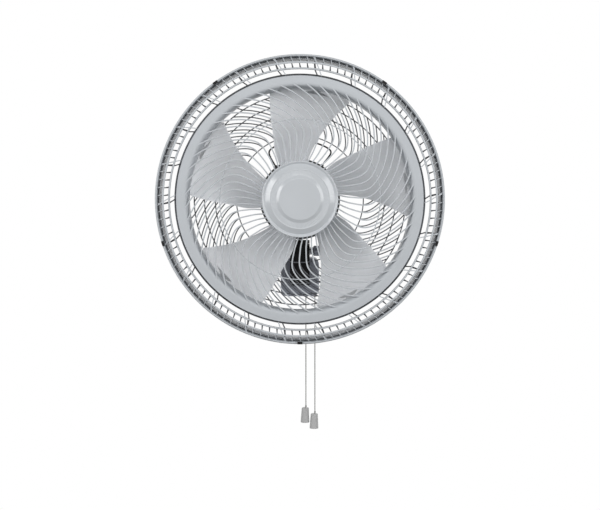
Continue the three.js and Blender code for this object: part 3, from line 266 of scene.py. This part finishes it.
# partly the slate plastic's own colour and partly painted light: lifted lighter to make up for the
# shade of the fan over the base
slate_with_painted_light = finish("abs_slate_painted_light", 0x989CA8, 0.04, 0.4, bump=0.08)
pull_grey = finish("pull_abs", 0xB0B0B0, 0.03, 0.38, bump=0.01)
zinc = finish("zinc_plated_steel", 0xA4A7AA, 0.08, 0.34, grain=300.0, bump=0.05, metallic=1.0,
              streak=(1, 1, 6))
core_sheet = finish("stacked_core_steel", 0x6E7074, 0.1, 0.5, grain=2000.0, bump=0.3,
                    metallic=1.0, streak=(0.2, 1, 0.2))
copper_wire = finish("enamelled_copper", 0xB06A3A, 0.12, 0.35, grain=1800.0, bump=0.3,
                     metallic=1.0, coat=0.3)
bronze = finish("sintered_bronze", 0x9C7A4A, 0.1, 0.5, bump=0.15, metallic=1.0)
gear_white = finish("white_acetal", 0xE0DED8, 0.02, 0.42, bump=0.05)

# %% [markdown]
# ## Pull cords
# Two cords hang straight down from the base, each with a small cone on its end. They are
# braided, 2 mm thick. A tube follows each cord's line, and its section turns as it goes down,
# so that the strands wind round it.

# %% pull cords
CORD_V = 40.0  # from the wall
CORD_TOP = -16.0
CORD_TAIL = 6.0  # the end of a cord, inside its cone
FLOOR_Z = -38.0  # underside of the base
CONE_SHIFT, CONE_LEAN = 1.2, 0.02
PULLS = (("speed", 12.0, 223.5), ("swing", 30.0, 235.5))  # name, x, and drop from the base
cord_finish = finish("braided_cord", 0xA2A29F, 0.1, 0.8, grain=2600.0, bump=0.4)


def braided(x, low, strands=4, pitch=5.0):
    """Tube round (x, -CORD_V, z): radius = 1 + 0.07 cos(strands * angle - 360 z / pitch) mm."""
    z = np.linspace(CORD_TOP, low, 360)[:, None]
    t = np.radians(np.arange(16) * 22.5)[None, :]
    r = 1.0 + 0.07 * np.cos(strands * (t - 2 * np.pi * z / pitch / strands))
    grid = np.stack([x + r * np.cos(t), -CORD_V + r * np.sin(t), np.broadcast_to(z, r.shape)], -1)
    return skin(grid * MM)


def pull_cone(x, top):
    """Hollow cone on the cord's end: its outline (r, z) runs round a line that leans a little."""
    corners = [(1.3, top - 1), (6.6, top - 1), (7.0, top - 1.6), (8.8, top - 29.4), (8.4, top - 30),
               (6.6, top - 30), (4.6, top - 8), (1.3, top - 8)]
    outline = soften(corners, [0.3, 0.5, 0.5, 0.5, 0.5, 0.6, 1.0, 0.2], 5)
    t = np.radians(np.arange(48) * 7.5)[None, :]
    r, z = outline[:, :1], outline[:, 1:]
    lean = x - CONE_SHIFT + CONE_LEAN * (z - top)
    height = np.broadcast_to(z, (len(z), 48))
    grid = np.stack([lean + r * np.cos(t), -CORD_V + r * np.sin(t), height], -1)
    return skin(grid * MM, along=True)


def knot(x, low):
    """A knot over the cone: a ball whose radius swells and sinks with two turns of the cord."""
    s = np.linspace(0.12, np.pi - 0.12, 17)[:, None]
    t = np.radians(np.arange(24) * 15.0)[None, :]
    r = (1.9 + 0.18 * np.cos(2 * t + 3 * s)) * np.sin(s)
    z = low + 2.4 + 2.0 * np.cos(s)
    grid = np.stack([x + r * np.cos(t), -CORD_V + r * np.sin(t), np.broadcast_to(z, r.shape)], -1)
    return skin(grid * MM)


for name, x, drop in PULLS:
    top = FLOOR_Z - drop
    low = top - CORD_TAIL
    cone = piece(f"{name}_cone", [pull_cone(x, top)], f"{name}_pull", pull_grey,
                 [f"{name}_pendant"])
    tie = piece(f"{name}_knot", [knot(x, top)], f"{name}_pull", cord_finish)
    line = piece(f"{name}_cord_braid", [braided(x, low)], f"{name}_pull", cord_finish,
                 [f"{name}_cord"])

# %% [markdown]
# ## Front guard
# One light grey moulding: a rolled rim, two rings inside it, a wide bell mouth, 55 S-shaped
# spokes and the ring that holds the cap. 22 thin ribs tie the bell mouth to the rim, and 110
# short ones cross the gap beside it. The spokes turn one way up to the bend and the other way
# outside it, and they curl in at the hub.

# %% the spokes' curve
BEND_R, BEND_ANGLE, SOFTNESS = 125.1, 24.85, 7.2
INNER_TURN, TURN_LOST = 0.068, 0.4922  # degrees per mm: inside the bend, and lost across it
CURL_R, CURL = 92.0, 0.0049


def spoke_angle(r):
    """Two slopes that meet in a soft bend, a + b (r - R) - c s ln(1 + e^((r - R) / s)), less the
    curl at the hub, d (92 - r)^2 inside 92 mm."""
    past = (r - BEND_R) / SOFTNESS
    bend = TURN_LOST * SOFTNESS * np.log1p(np.exp(past))
    curl = CURL * np.clip(CURL_R - r, 0, None) ** 2
    return BEND_ANGLE + INNER_TURN * (r - BEND_R) - bend - curl


def spoke(r0, r1, w, section, steps=34):
    """A spoke between two radii, at depth w."""
    r = np.linspace(r0, r1, steps)
    return moulding(polar(r, spoke_angle(r), w), section)


# %% front guard
SPOKES, SHORT_RIBS, LINK_RIBS = 55, 110, 22
BAND_EDGE, BAND_OUT, LIP_R, LIP_W = 210.0, 221.8, 199.5, 30.0


def bell_face(sharp=3.0, steps=30):
    """Outline (r, w) of the bell's face down to its lip: u^p + v^p = 1 with p = sharp."""
    s = np.linspace(0, np.pi / 2, steps)
    u, v = np.cos(s) ** (2 / sharp), np.sin(s) ** (2 / sharp)
    return np.stack([BAND_EDGE - (BAND_EDGE - LIP_R) * u, LIP_W * (1 - v)], -1)


rim = revolve(soften([(256.2, 8), (256.3, 1.2), (257.1, 0.1), (258.3, 0.3), (260, 2.6), (260, 8)],
                     [0.4, 0.7, 0.6, 0.8, 1.0, 0.4], 6), 220)
outer_ring = revolve(soften([(243.8, 0.1), (247.0, 0.1), (246.6, 6), (244.2, 6)], 1.0, 5), 220)
second_ring = revolve(soften([(233.0, 0.2), (235.8, 0.2), (235.5, 5), (233.3, 5)], 1.0, 5), 220)
front_face = bell_face()
wall = 2.4
back_face = (front_face + [wall, wall * 0.9])[::-1]
skirt = soften([(BAND_OUT, 0), (BAND_OUT, 7), (BAND_OUT - wall, 7), (BAND_OUT - wall, wall)],
               [2.2, 0.6, 0.6, 1.0], 6)
bell = revolve(np.concatenate([front_face, skirt, back_face[2:]]), 220)
hub_ring = revolve(soften([(62, 0.3), (68, 0.3), (67.4, 5.3), (62.4, 5.3)], 0.8, 4), 120)
thin_ring = revolve(soften([(143.1, 1.6), (144.8, 1.6), (144.7, 4.6), (143.2, 4.6)], 0.6, 4), 160)
spoke_section = rounded_bar(2.6, 5.0, 1.0, 4)
spokes = copies(spoke(66.5, 211.0, 0.3, spoke_section), SPOKES)
# the ribs sink by 3 mm over the last third of their way to the rim
t = np.linspace(0, 1, 12)[1:]
sink = 3.0 * np.clip(3 * t - 2, 0, 1)
link_line = polar(220.5 + t * 36.3, 10.35 - t * 4.85, 0.7 + sink)
link_rib = moulding(link_line, rounded_bar(1.9, 4.2, 0.7, 3))
short_line = polar(245.6 + t * 11.2, 0.42 - t * 0.9, 1.2 + sink)
short_rib = moulding(short_line, rounded_bar(1.3, 3.0, 0.5, 3))
piece(
    "front_guard_moulding",
    [rim, outer_ring, second_ring, bell, hub_ring, thin_ring, spokes, copies(link_rib, LINK_RIBS),
     copies(short_rib, SHORT_RIBS)],
    "head", guard_grey, ["front_guard"],
)

# %% [markdown]
# ## Rear guard
# A deep basket: a rim that meets the front one, with a groove that its lip drops into, and a
# tall hoop. Behind it 110 short ribs lean in to a ring, steps lead down to the rear spokes and
# their four rings, and five arms reach the flange that the ring nut clamps on the motor. Its grey
# is painted shade: the hoop is a little darker than the front guard, and the basket much darker,
# for the shade behind the blades.

# %% rear guard
REAR_W = FRONT_V - 175.0  # plane of the rear spokes
REAR_RINGS = (119.4, 159.1, 179.5, 198.9)
STEP_RINGS = ((241.3, 3.2, 59.0, 7.0), (232.6, 3.4, 85.0, 5.0))  # radius, width, w and depth
GUARD_ARMS, GUARD_ARM_ANGLE = 5, 62.5
hoop = revolve(
    soften([(252.4, 8.6), (253.1, 8.6), (253.1, 19), (255.6, 19), (255.6, 8.3), (260, 8.3),
            (260, 20.3), (254.8, 20.3), (254.8, 65), (252.4, 65)],
           [0.3, 0.3, 0.4, 0.4, 0.4, 0.8, 1.2, 1.0, 0.6, 0.6], 4), 220)
piece("rear_guard_hoop", [hoop], "head", rear_hoop_painted_shade, ["rear_guard"])


def flat_ring(middle, width, w, depth):
    """A moulded ring: its width and depth, round a middle radius, from a depth w backwards."""
    half, tail = width / 2, width / 2 - 0.2
    corners = [(middle - half, w), (middle + half, w),
               (middle + tail, w + depth), (middle - tail, w + depth)]
    return revolve(soften(corners, 0.7, 4), 200)


def wedge(stations, w, depth):
    """A flat rib that widens, from w to w + depth. A station is a radius, an angle and a width."""
    r, angle, width = (np.array(k, float)[:, None] for k in zip(*stations))
    side, deep = np.array([[-0.5, 0.5, 0.4, -0.4]]), np.array([[0, 0, depth, depth]])
    return skin(polar(r, angle + np.degrees(width * side / r), w + deep))


rear_rings = [flat_ring(r, 2.1, REAR_W, 4.0) for r in REAR_RINGS]
rear_rings += [flat_ring(*step) for step in STEP_RINGS]
rear_spokes = copies(spoke(118.8, 199.5, REAR_W + 0.2, rounded_bar(2.3, 3.6, 0.7, 3), 24), SPOKES)
rear_short = wedge([(252.9, -0.25, 1.5), (247, 0.0, 2.2), (241, 0.3, 3.4)], 60.0, 3.0)
stations = [(252.9, 6.1, 61.0), (240.6, 6.6, 62.0), (232.4, 8.2, 87.0), (198.9, 16.5, REAR_W + 1.0)]
u = np.linspace(0, 3, 25)
rear_line = polar(*(np.interp(u, np.arange(4), k) for k in zip(*stations)))
rear_link = moulding(rear_line, rounded_bar(2.4, 3.0, 0.7, 3))
FLANGE_W = FRONT_V - (MOTOR_FRONT + 3.3)
flange_back = FLANGE_W + 3
flange_outline = [(22.3, FLANGE_W), (60, FLANGE_W), (60, flange_back), (22.3, flange_back)]
flange = revolve(soften(flange_outline, 0.6, 3), 90)
arm_line = polar(np.linspace(58.5, REAR_RINGS[0], 8), 0.0, FLANGE_W)
arm = moulding(arm_line, rounded_bar(8.0, 3.0, 0.8, 4))
piece(
    "rear_guard_basket",
    [*rear_rings, rear_spokes, copies(rear_short, SHORT_RIBS), copies(rear_link, LINK_RIBS), flange,
     copies(arm, GUARD_ARMS, GUARD_ARM_ANGLE)],
    "head", rear_basket_painted_shade, ["rear_guard"],
)

# %% [markdown]
# ## Centre cap
# A round cover over the hub: a flat rim, a groove, a rounded shoulder that catches the light, a
# sunk ring with fine radial flutes, and a smooth disc in the middle.

# %% centre cap
cap_outline = np.array([
    (0.0, -17.1), (15, -17.2), (30, -17.4), (36.4, -17.5), (37.0, -17.35), (37.6, -17.0),
    (40.6, -15.2), (41.2, -14.8), (41.9, -14.4), (43.0, -14.1), (51.0, -13.7), (51.8, -13.7),
    (52.3, -13.9), (52.9, -14.0), (53.6, -13.7), (61.0, -9.4), (62.0, -8.7), (62.7, -8.2),
    (63.4, -8.3), (65.8, -10.1), (66.5, -10.5), (67.4, -10.5), (68.1, -10.0), (68.4, -9.0),
    (68.4, -0.3), (61.7, -0.3), (61.7, 4.0), (59.4, 4.0),
    (58.0, -5.8), (51.5, -11.3), (37.0, -14.3), (0.0, -14.9),
])


def finer(outline, step=1.2):
    """The outline with more points: its length is shared out evenly, in steps of about 1.2 mm."""
    lengths = np.concatenate([[0], np.cumsum(np.linalg.norm(np.diff(outline, axis=0), axis=1))])
    even = np.union1d(np.linspace(0, lengths[-1], int(lengths[-1] / step)), lengths)
    return np.stack([np.interp(even, lengths, outline[:, k]) for k in (0, 1)], -1)


def fluted(outline, sides=520, flutes=130, inner=42.6, outer=51.4, deep=0.5):
    """Revolve whose front ripples with the angle between two radii: w + deep cos(flutes t) / 2."""
    angle = np.arange(sides) * 360.0 / sides
    r, w = outline[:, :1], outline[:, 1:]
    zone = (r > inner) & (r < outer) & (w < -13.0)
    ripple = zone * deep / 2 * np.cos(flutes * np.radians(angle))[None, :]
    return skin(polar(np.maximum(r, 0.01), angle[None, :], w + ripple))


piece("centre_cap_moulding", [fluted(finer(cap_outline))], "head", cap_grey,
      ["centre_cap"], smooth=50.0)

# %% [markdown]
# ## Impeller
# Five wide blades on a hub. A blade is a sheet over radius and chord: its trailing edge lies
# near the front, its leading edge deep in the guard, and it is hollow between the two, most of
# all at the root. The sheet thins towards its edges, so it is one closed skin.

# %% impeller
HUB_R, TIP_R = 52.0, 203.0
HUB_FRONT, HUB_REAR = 34.0, 84.0
BLADES = 5


def blade_skin(rows=46, columns=40):
    """Loop round the chord at each radius: front side from edge to edge, and back behind it. The
    hollow between the edges is (1 + 7 (1 - out)) sin(pi t) mm deep."""
    out = np.linspace(0, 1, rows)[:, None]
    r = HUB_R - 1 + (TIP_R - HUB_R + 1) * out
    half = np.linspace(0, 1, columns)
    t = np.concatenate([half, half[::-1]])[None, :]
    side = np.concatenate([np.full(columns, -1.0), np.full(columns, 1.0)])[None, :]
    tip = 1.5 * np.clip((out - 0.975) / 0.025, 0, 1) ** 2
    trailing = -16.0 - 0.085 * (200 - r) - 3.7 / (1 + np.exp((r - 110) / 8)) + tip
    leading = 8.6 + 0.127 * (r - HUB_R) - tip
    front = HUB_FRONT + 5 * (1 - out)
    rear = HUB_REAR - 4 - 14 * out
    thick = 1.15 * np.sqrt(np.clip(1 - (2 * t - 1) ** 8, 0.02, 1))
    hollow = (1 + 7 * (1 - out)) * np.sin(np.pi * t)
    depth = front + (rear - front) * t + hollow + side * thick
    return skin(polar(r, trailing + (leading - trailing) * t, depth))


hub = revolve(
    soften([(4.3, 34), (52, 34), (52, 84), (49, 84), (49, 37), (10, 37), (10, 74), (4.3, 74)],
           [0.3, 6.0, 0.6, 0.6, 4.0, 0.8, 0.5, 0.3], 6), 120)
piece("impeller_moulding", [hub, copies(blade_skin(), BLADES)], "fan_rotor", blade_painted_light,
      ["impeller"], smooth=40.0)

# %% [markdown]
# ## Motor, neck and base
# Behind the blades sits the black motor in two shells, under a bent rod to lift it by. It stands
# on a curved neck, which grows out of a square base box on the wall.

# %% motor shells
rear_case = revolve(
    soften([(9.3, 168), (68, 168), (76, 160), (76, 128), (73.5, 128), (73.5, 160), (68, 165.5),
            (12.3, 165.5), (12.3, 160), (9.3, 160)],
           [0.4, 5.0, 5.0, 0.8, 0.4, 3.0, 3.0, 0.5, 0.5, 0.4], 6), 120)
front_case = revolve(
    soften([(76, 127.7), (76, 114), (70, 108), (22, 108), (22, 97), (9.3, 97), (9.3, 105.3),
            (4.5, 105.3), (4.5, 110.5), (70, 110.5), (73.5, 115), (73.5, 127.7)],
           [0.8, 3.0, 3.0, 1.0, 0.8, 0.4, 0.3, 0.3, 0.3, 2.0, 2.0, 0.4], 6), 120)
HANDLE_W = FRONT_V - (MOTOR_REAR + 28)
HANDLE_R, HANDLE_BEND, HANDLE_FOOT = 111.5, 10.0, 78.0
HANDLE_SPAN, HANDLE_TURN, HANDLE_LEAN = 34.9, 0.4, -2.0  # degrees
HANDLE_ROD = 1.55  # radius of the rod
socket_r = np.array([75.0, 78.4, 79.0, 79.0])
socket_size = np.array([3.4, 3.2, 2.8, 2.0])


def upright_rod(radii, sizes, angle, sides=24):
    """A rod that stands on the motor along a radius of the fan, with a size at each radius."""
    t = np.radians(np.arange(sides) * 360.0 / sides)[None, :]
    a = np.radians(angle)
    along = np.array([np.sin(a), 0, np.cos(a)])
    across = np.array([np.cos(a), 0, -np.sin(a)])
    foot = np.array([0, HANDLE_W - FRONT_V, AXIS_Z])
    grid = (foot + np.asarray(radii)[:, None, None] * along
            + np.asarray(sizes)[:, None, None] * (np.cos(t)[..., None] * across
                                                  + np.sin(t)[..., None] * np.array([0, 1, 0])))
    return skin(grid * MM)


foot_turn = HANDLE_TURN + HANDLE_LEAN
sockets = [upright_rod(socket_r, socket_size, side * HANDLE_SPAN + foot_turn) for side in (-1, 1)]
piece("motor_rear_case", [rear_case, *sockets], "head", case_black,
      ["motor_rear_housing"])
piece("motor_front_case", [front_case], "head", case_black, ["motor_front_shell"])

# %% [markdown]
# ## Carry handle
# A bent rod stands over the motor. Its bow and its feet are turned a little, as in the photograph.


# %% carry handle
def handle_path(steps=120):
    """Leg, bend, arc, bend, leg: on a leg the radius rises while the angle hardly moves."""
    u = np.linspace(-1, 1, steps)
    leg = HANDLE_R - HANDLE_FOOT
    arc = np.radians(HANDLE_SPAN) * HANDLE_R
    total = leg + arc
    s = np.abs(u) * total
    soft = HANDLE_BEND / 2
    past = (s - arc) / soft
    lift = soft * np.log1p(np.exp(-past))
    fall = soft * np.log1p(np.exp(past))
    angle = np.sign(u) * np.degrees((arc - lift) / HANDLE_R) + HANDLE_TURN
    return polar(HANDLE_R - fall, angle + HANDLE_LEAN * fall / leg, HANDLE_W)


def tube(path, radius, sides=16):
    """A round section carried along a path."""
    t = np.radians(np.arange(sides) * 360.0 / sides)
    return moulding(path, radius * np.stack([np.cos(t), np.sin(t)], -1))


piece("carry_handle_rod", [tube(handle_path(), HANDLE_ROD)], "head", case_black,
      ["carry_handle"])

# %% [markdown]
# ## Base box
# A shell with round corners, open to the wall. A fine groove runs round it near its back, and its
# front edge is rounded.

# %% base box
BASE_SIZE, BASE_CORNER, BASE_FRONT = 76.0, 13.0, 60.0
BASE_WALL, BASE_EDGE = 2.5, 3.0


def rounded_square(size, corner, steps=10):
    """Outline (x, z) of a square with round corners: four quarter circles, one after the other."""
    t = np.radians(np.linspace(0, 90, steps))
    turn = np.radians(np.arange(4) * 90.0)[:, None]
    inset = size / 2 - corner
    x = corner * np.cos(t[None, :] + turn) + inset * np.sign(np.cos(turn + np.pi / 4))
    z = corner * np.sin(t[None, :] + turn) + inset * np.sign(np.sin(turn + np.pi / 4))
    return np.stack([x.ravel(), z.ravel()], -1)


def box_rows(rows):
    """Loops of a rounded square: each row gives how far it is drawn in, and its v."""
    loops = []
    for inset, v in rows:
        corner = max(BASE_CORNER - inset, 0.5)
        xz = rounded_square(BASE_SIZE - 2 * inset, corner)
        loops.append(np.stack([xz[:, 0], np.full(len(xz), -v), xz[:, 1]], -1))
    return np.array(loops) * MM


bend = np.radians(np.linspace(0, 90, 7))
front_edge = [(BASE_EDGE * (1 - np.cos(b)), BASE_FRONT - BASE_EDGE + BASE_EDGE * np.sin(b))
              for b in bend]
outside = [(0.0, 2.3), (0.0, 7.0), (0.35, 7.3), (0.35, 8.0), (0.0, 8.3), *front_edge,
           (10.0, BASE_FRONT), (30.0, BASE_FRONT), (37.9, BASE_FRONT)]
ceiling = BASE_FRONT - BASE_WALL
inside = [(37.9, ceiling), (20.0, ceiling), (3.2, ceiling), (BASE_WALL, ceiling - 1.0),
          (BASE_WALL, 2.3)]
piece("base_box", [skin(box_rows(outside + inside), along=True)], "wall_unit", slate_with_painted_light,
      ["base_housing"])

# %% [markdown]
# ## Tilt knob
# A round grip with shallow lobes on the end of the tilt bolt.


# %% tilt knob
def knob_skin(lobes=8, sides=192):
    """Profile (x, r) along the bolt, lobed on its grip: r (1 - 0.18 (1 - cos(lobes t)) / 2)."""
    profile = np.array([
        (21.1, 0.1), (21.1, 6.4), (21.5, 7.0), (26.1, 7.0), (26.3, 8.8), (27.2, 9.9), (28.2, 10.0),
        (39.8, 10.0), (41.4, 9.5), (42.1, 8.2), (42.1, 6.0), (41.3, 5.0), (41.3, 0.1),
    ])
    x, r = profile[:, :1], profile[:, 1:]
    t = np.radians(np.arange(sides) * 360.0 / sides)[None, :]
    grip = np.clip((x - 25.9) / 0.6, 0, 1) * np.clip((r - 5.5) / 2, 0, 1)
    radius = r * (1 - 0.18 * grip * (1 - np.cos(lobes * t)) / 2)
    along = np.broadcast_to(x, radius.shape)
    grid = np.stack([along, -PIVOT_V + radius * np.cos(t), PIVOT_Z + radius * np.sin(t)], -1)
    return skin(grid * MM)


piece("tilt_knob_grip", [knob_skin()], "clamp_knob", slate_with_painted_light, ["tilt_knob"])

# %% [markdown]
# ## Pieces that keep their CAD form
# The rest has the right shape in the frame already. Each gets the finish of what it is made of.

# %% finishes for the frame's own nodes
kept = {
    "wall_plate": zinc, "base_screw_top": zinc, "base_screw_bottom": zinc,
    "speed_switch": gear_white, "swing_switch": gear_white, "capacitor": plastic_black,
    "terminal_block": gear_white, "cable_gland": plastic_black,
    "speed_cord_bush": plastic_black, "swing_cord_bush": plastic_black, "neck_arm": plastic_black,
    "tilt_bolt": zinc, "tilt_washer": zinc, "tilt_knuckle": plastic_black,
    "swing_spindle": zinc, "retaining_ring": zinc, "crank_wheel": zinc, "worm_wheel": gear_white,
    "link_arm": zinc, "gearbox_housing": plastic_black, "stator_core": core_sheet,
    "winding_rear": copper_wire, "winding_front": copper_wire, "rotor": core_sheet,
    "motor_shaft": zinc, "rear_bearing": bronze, "front_bearing": bronze,
    "guard_nut": plastic_black, "spinner_nut": plastic_black,
    **{f"guard_clip_{i}": plastic_black for i in range(1, 6)},
}
for name, material in kept.items():
    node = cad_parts[name]
    for slot in node.material_slots:
        slot.material = material
    if not node.material_slots:
        node.data.materials.append(material)
print("nodes that keep their form:", len(kept))

# %% [markdown]
# ## Light and background
# A dim white world fills the shadows. A soft key stands behind and above the camera, so that its
# light reaches the blades through the guard, and boxes at the left and the right draw the
# highlights on the cap. The floor is pale and far below. Camera, glossy and transmission rays
# see the world as pure white.

# %% stage
TARGET = (0.0, -0.2, 0.155)
LAMPS = (  # name, place, width and height in metres, power in watts
    ("key_box", (0.2, -2.8, 1.15), (1.8, 1.1), 20.0),
    ("left_box", (-1.7, -1.5, 0.7), (0.9, 1.4), 26.0),
    ("right_box", (1.7, -1.5, 0.7), (1.15, 1.5), 25.0),
)
ROOM_FILL = 0.14
FLOOR_HALF, FLOOR_HEIGHT = 1.2, -1.1


def soft_box(name, place, target, size, power):
    """A rectangular lamp at a place, turned towards a target: its -Z axis points that way."""
    lamp = bpy.data.lights.new(name, "AREA")
    lamp.shape = "RECTANGLE"
    lamp.size, lamp.size_y = size
    lamp.energy = power
    obj = bpy.data.objects.new(name, lamp)
    way = np.array(target) - np.array(place)
    obj.location = place
    obj.rotation_euler = (
        np.arctan2(np.hypot(way[0], way[1]), -way[2]), 0.0, np.arctan2(-way[0], way[1]),
    )
    bpy.context.scene.collection.objects.link(obj)


for name, place, size, power in LAMPS:
    soft_box(name, place, TARGET, size, power)

world = bpy.data.worlds.new("studio")
world.use_nodes = True
bpy.context.scene.world = world
nodes, links = world.node_tree.nodes, world.node_tree.links
path_kind = nodes.new("ShaderNodeLightPath")
seen = nodes.new("ShaderNodeMath")
seen.operation = "MAXIMUM"
links.new(path_kind.outputs["Is Camera Ray"], seen.inputs[0])
seen_too = nodes.new("ShaderNodeMath")
seen_too.operation = "MAXIMUM"
links.new(path_kind.outputs["Is Glossy Ray"], seen_too.inputs[0])
links.new(path_kind.outputs["Is Transmission Ray"], seen_too.inputs[1])
links.new(seen_too.outputs[0], seen.inputs[1])
room = nodes["Background"]
room.inputs["Color"].default_value = (1.0, 1.0, 1.0, 1.0)
room.inputs["Strength"].default_value = ROOM_FILL
white = nodes.new("ShaderNodeBackground")
white.inputs["Color"].default_value = (1.0, 1.0, 1.0, 1.0)
white.inputs["Strength"].default_value = 1.0
choose = nodes.new("ShaderNodeMixShader")
links.new(seen.outputs[0], choose.inputs["Fac"])
links.new(room.outputs[0], choose.inputs[1])
links.new(white.outputs[0], choose.inputs[2])
links.new(choose.outputs[0], nodes["World Output"].inputs["Surface"])

floor_mesh = bpy.data.meshes.new("floor")
signs = ((-1, -1), (1, -1), (1, 1), (-1, 1))
floor_corners = [(x * FLOOR_HALF, y * FLOOR_HALF, FLOOR_HEIGHT) for x, y in signs]
floor_mesh.from_pydata(floor_corners, [], [(0, 1, 2, 3)])
floor_mesh.materials.append(finish("pale_floor", 0xF4F4F4, 0.005, 0.8, grain=200.0, bump=0.02))
floor = bpy.data.objects.new("floor", floor_mesh)
bpy.context.scene.collection.objects.link(floor)

bpy.context.scene.view_settings.view_transform = "Standard"
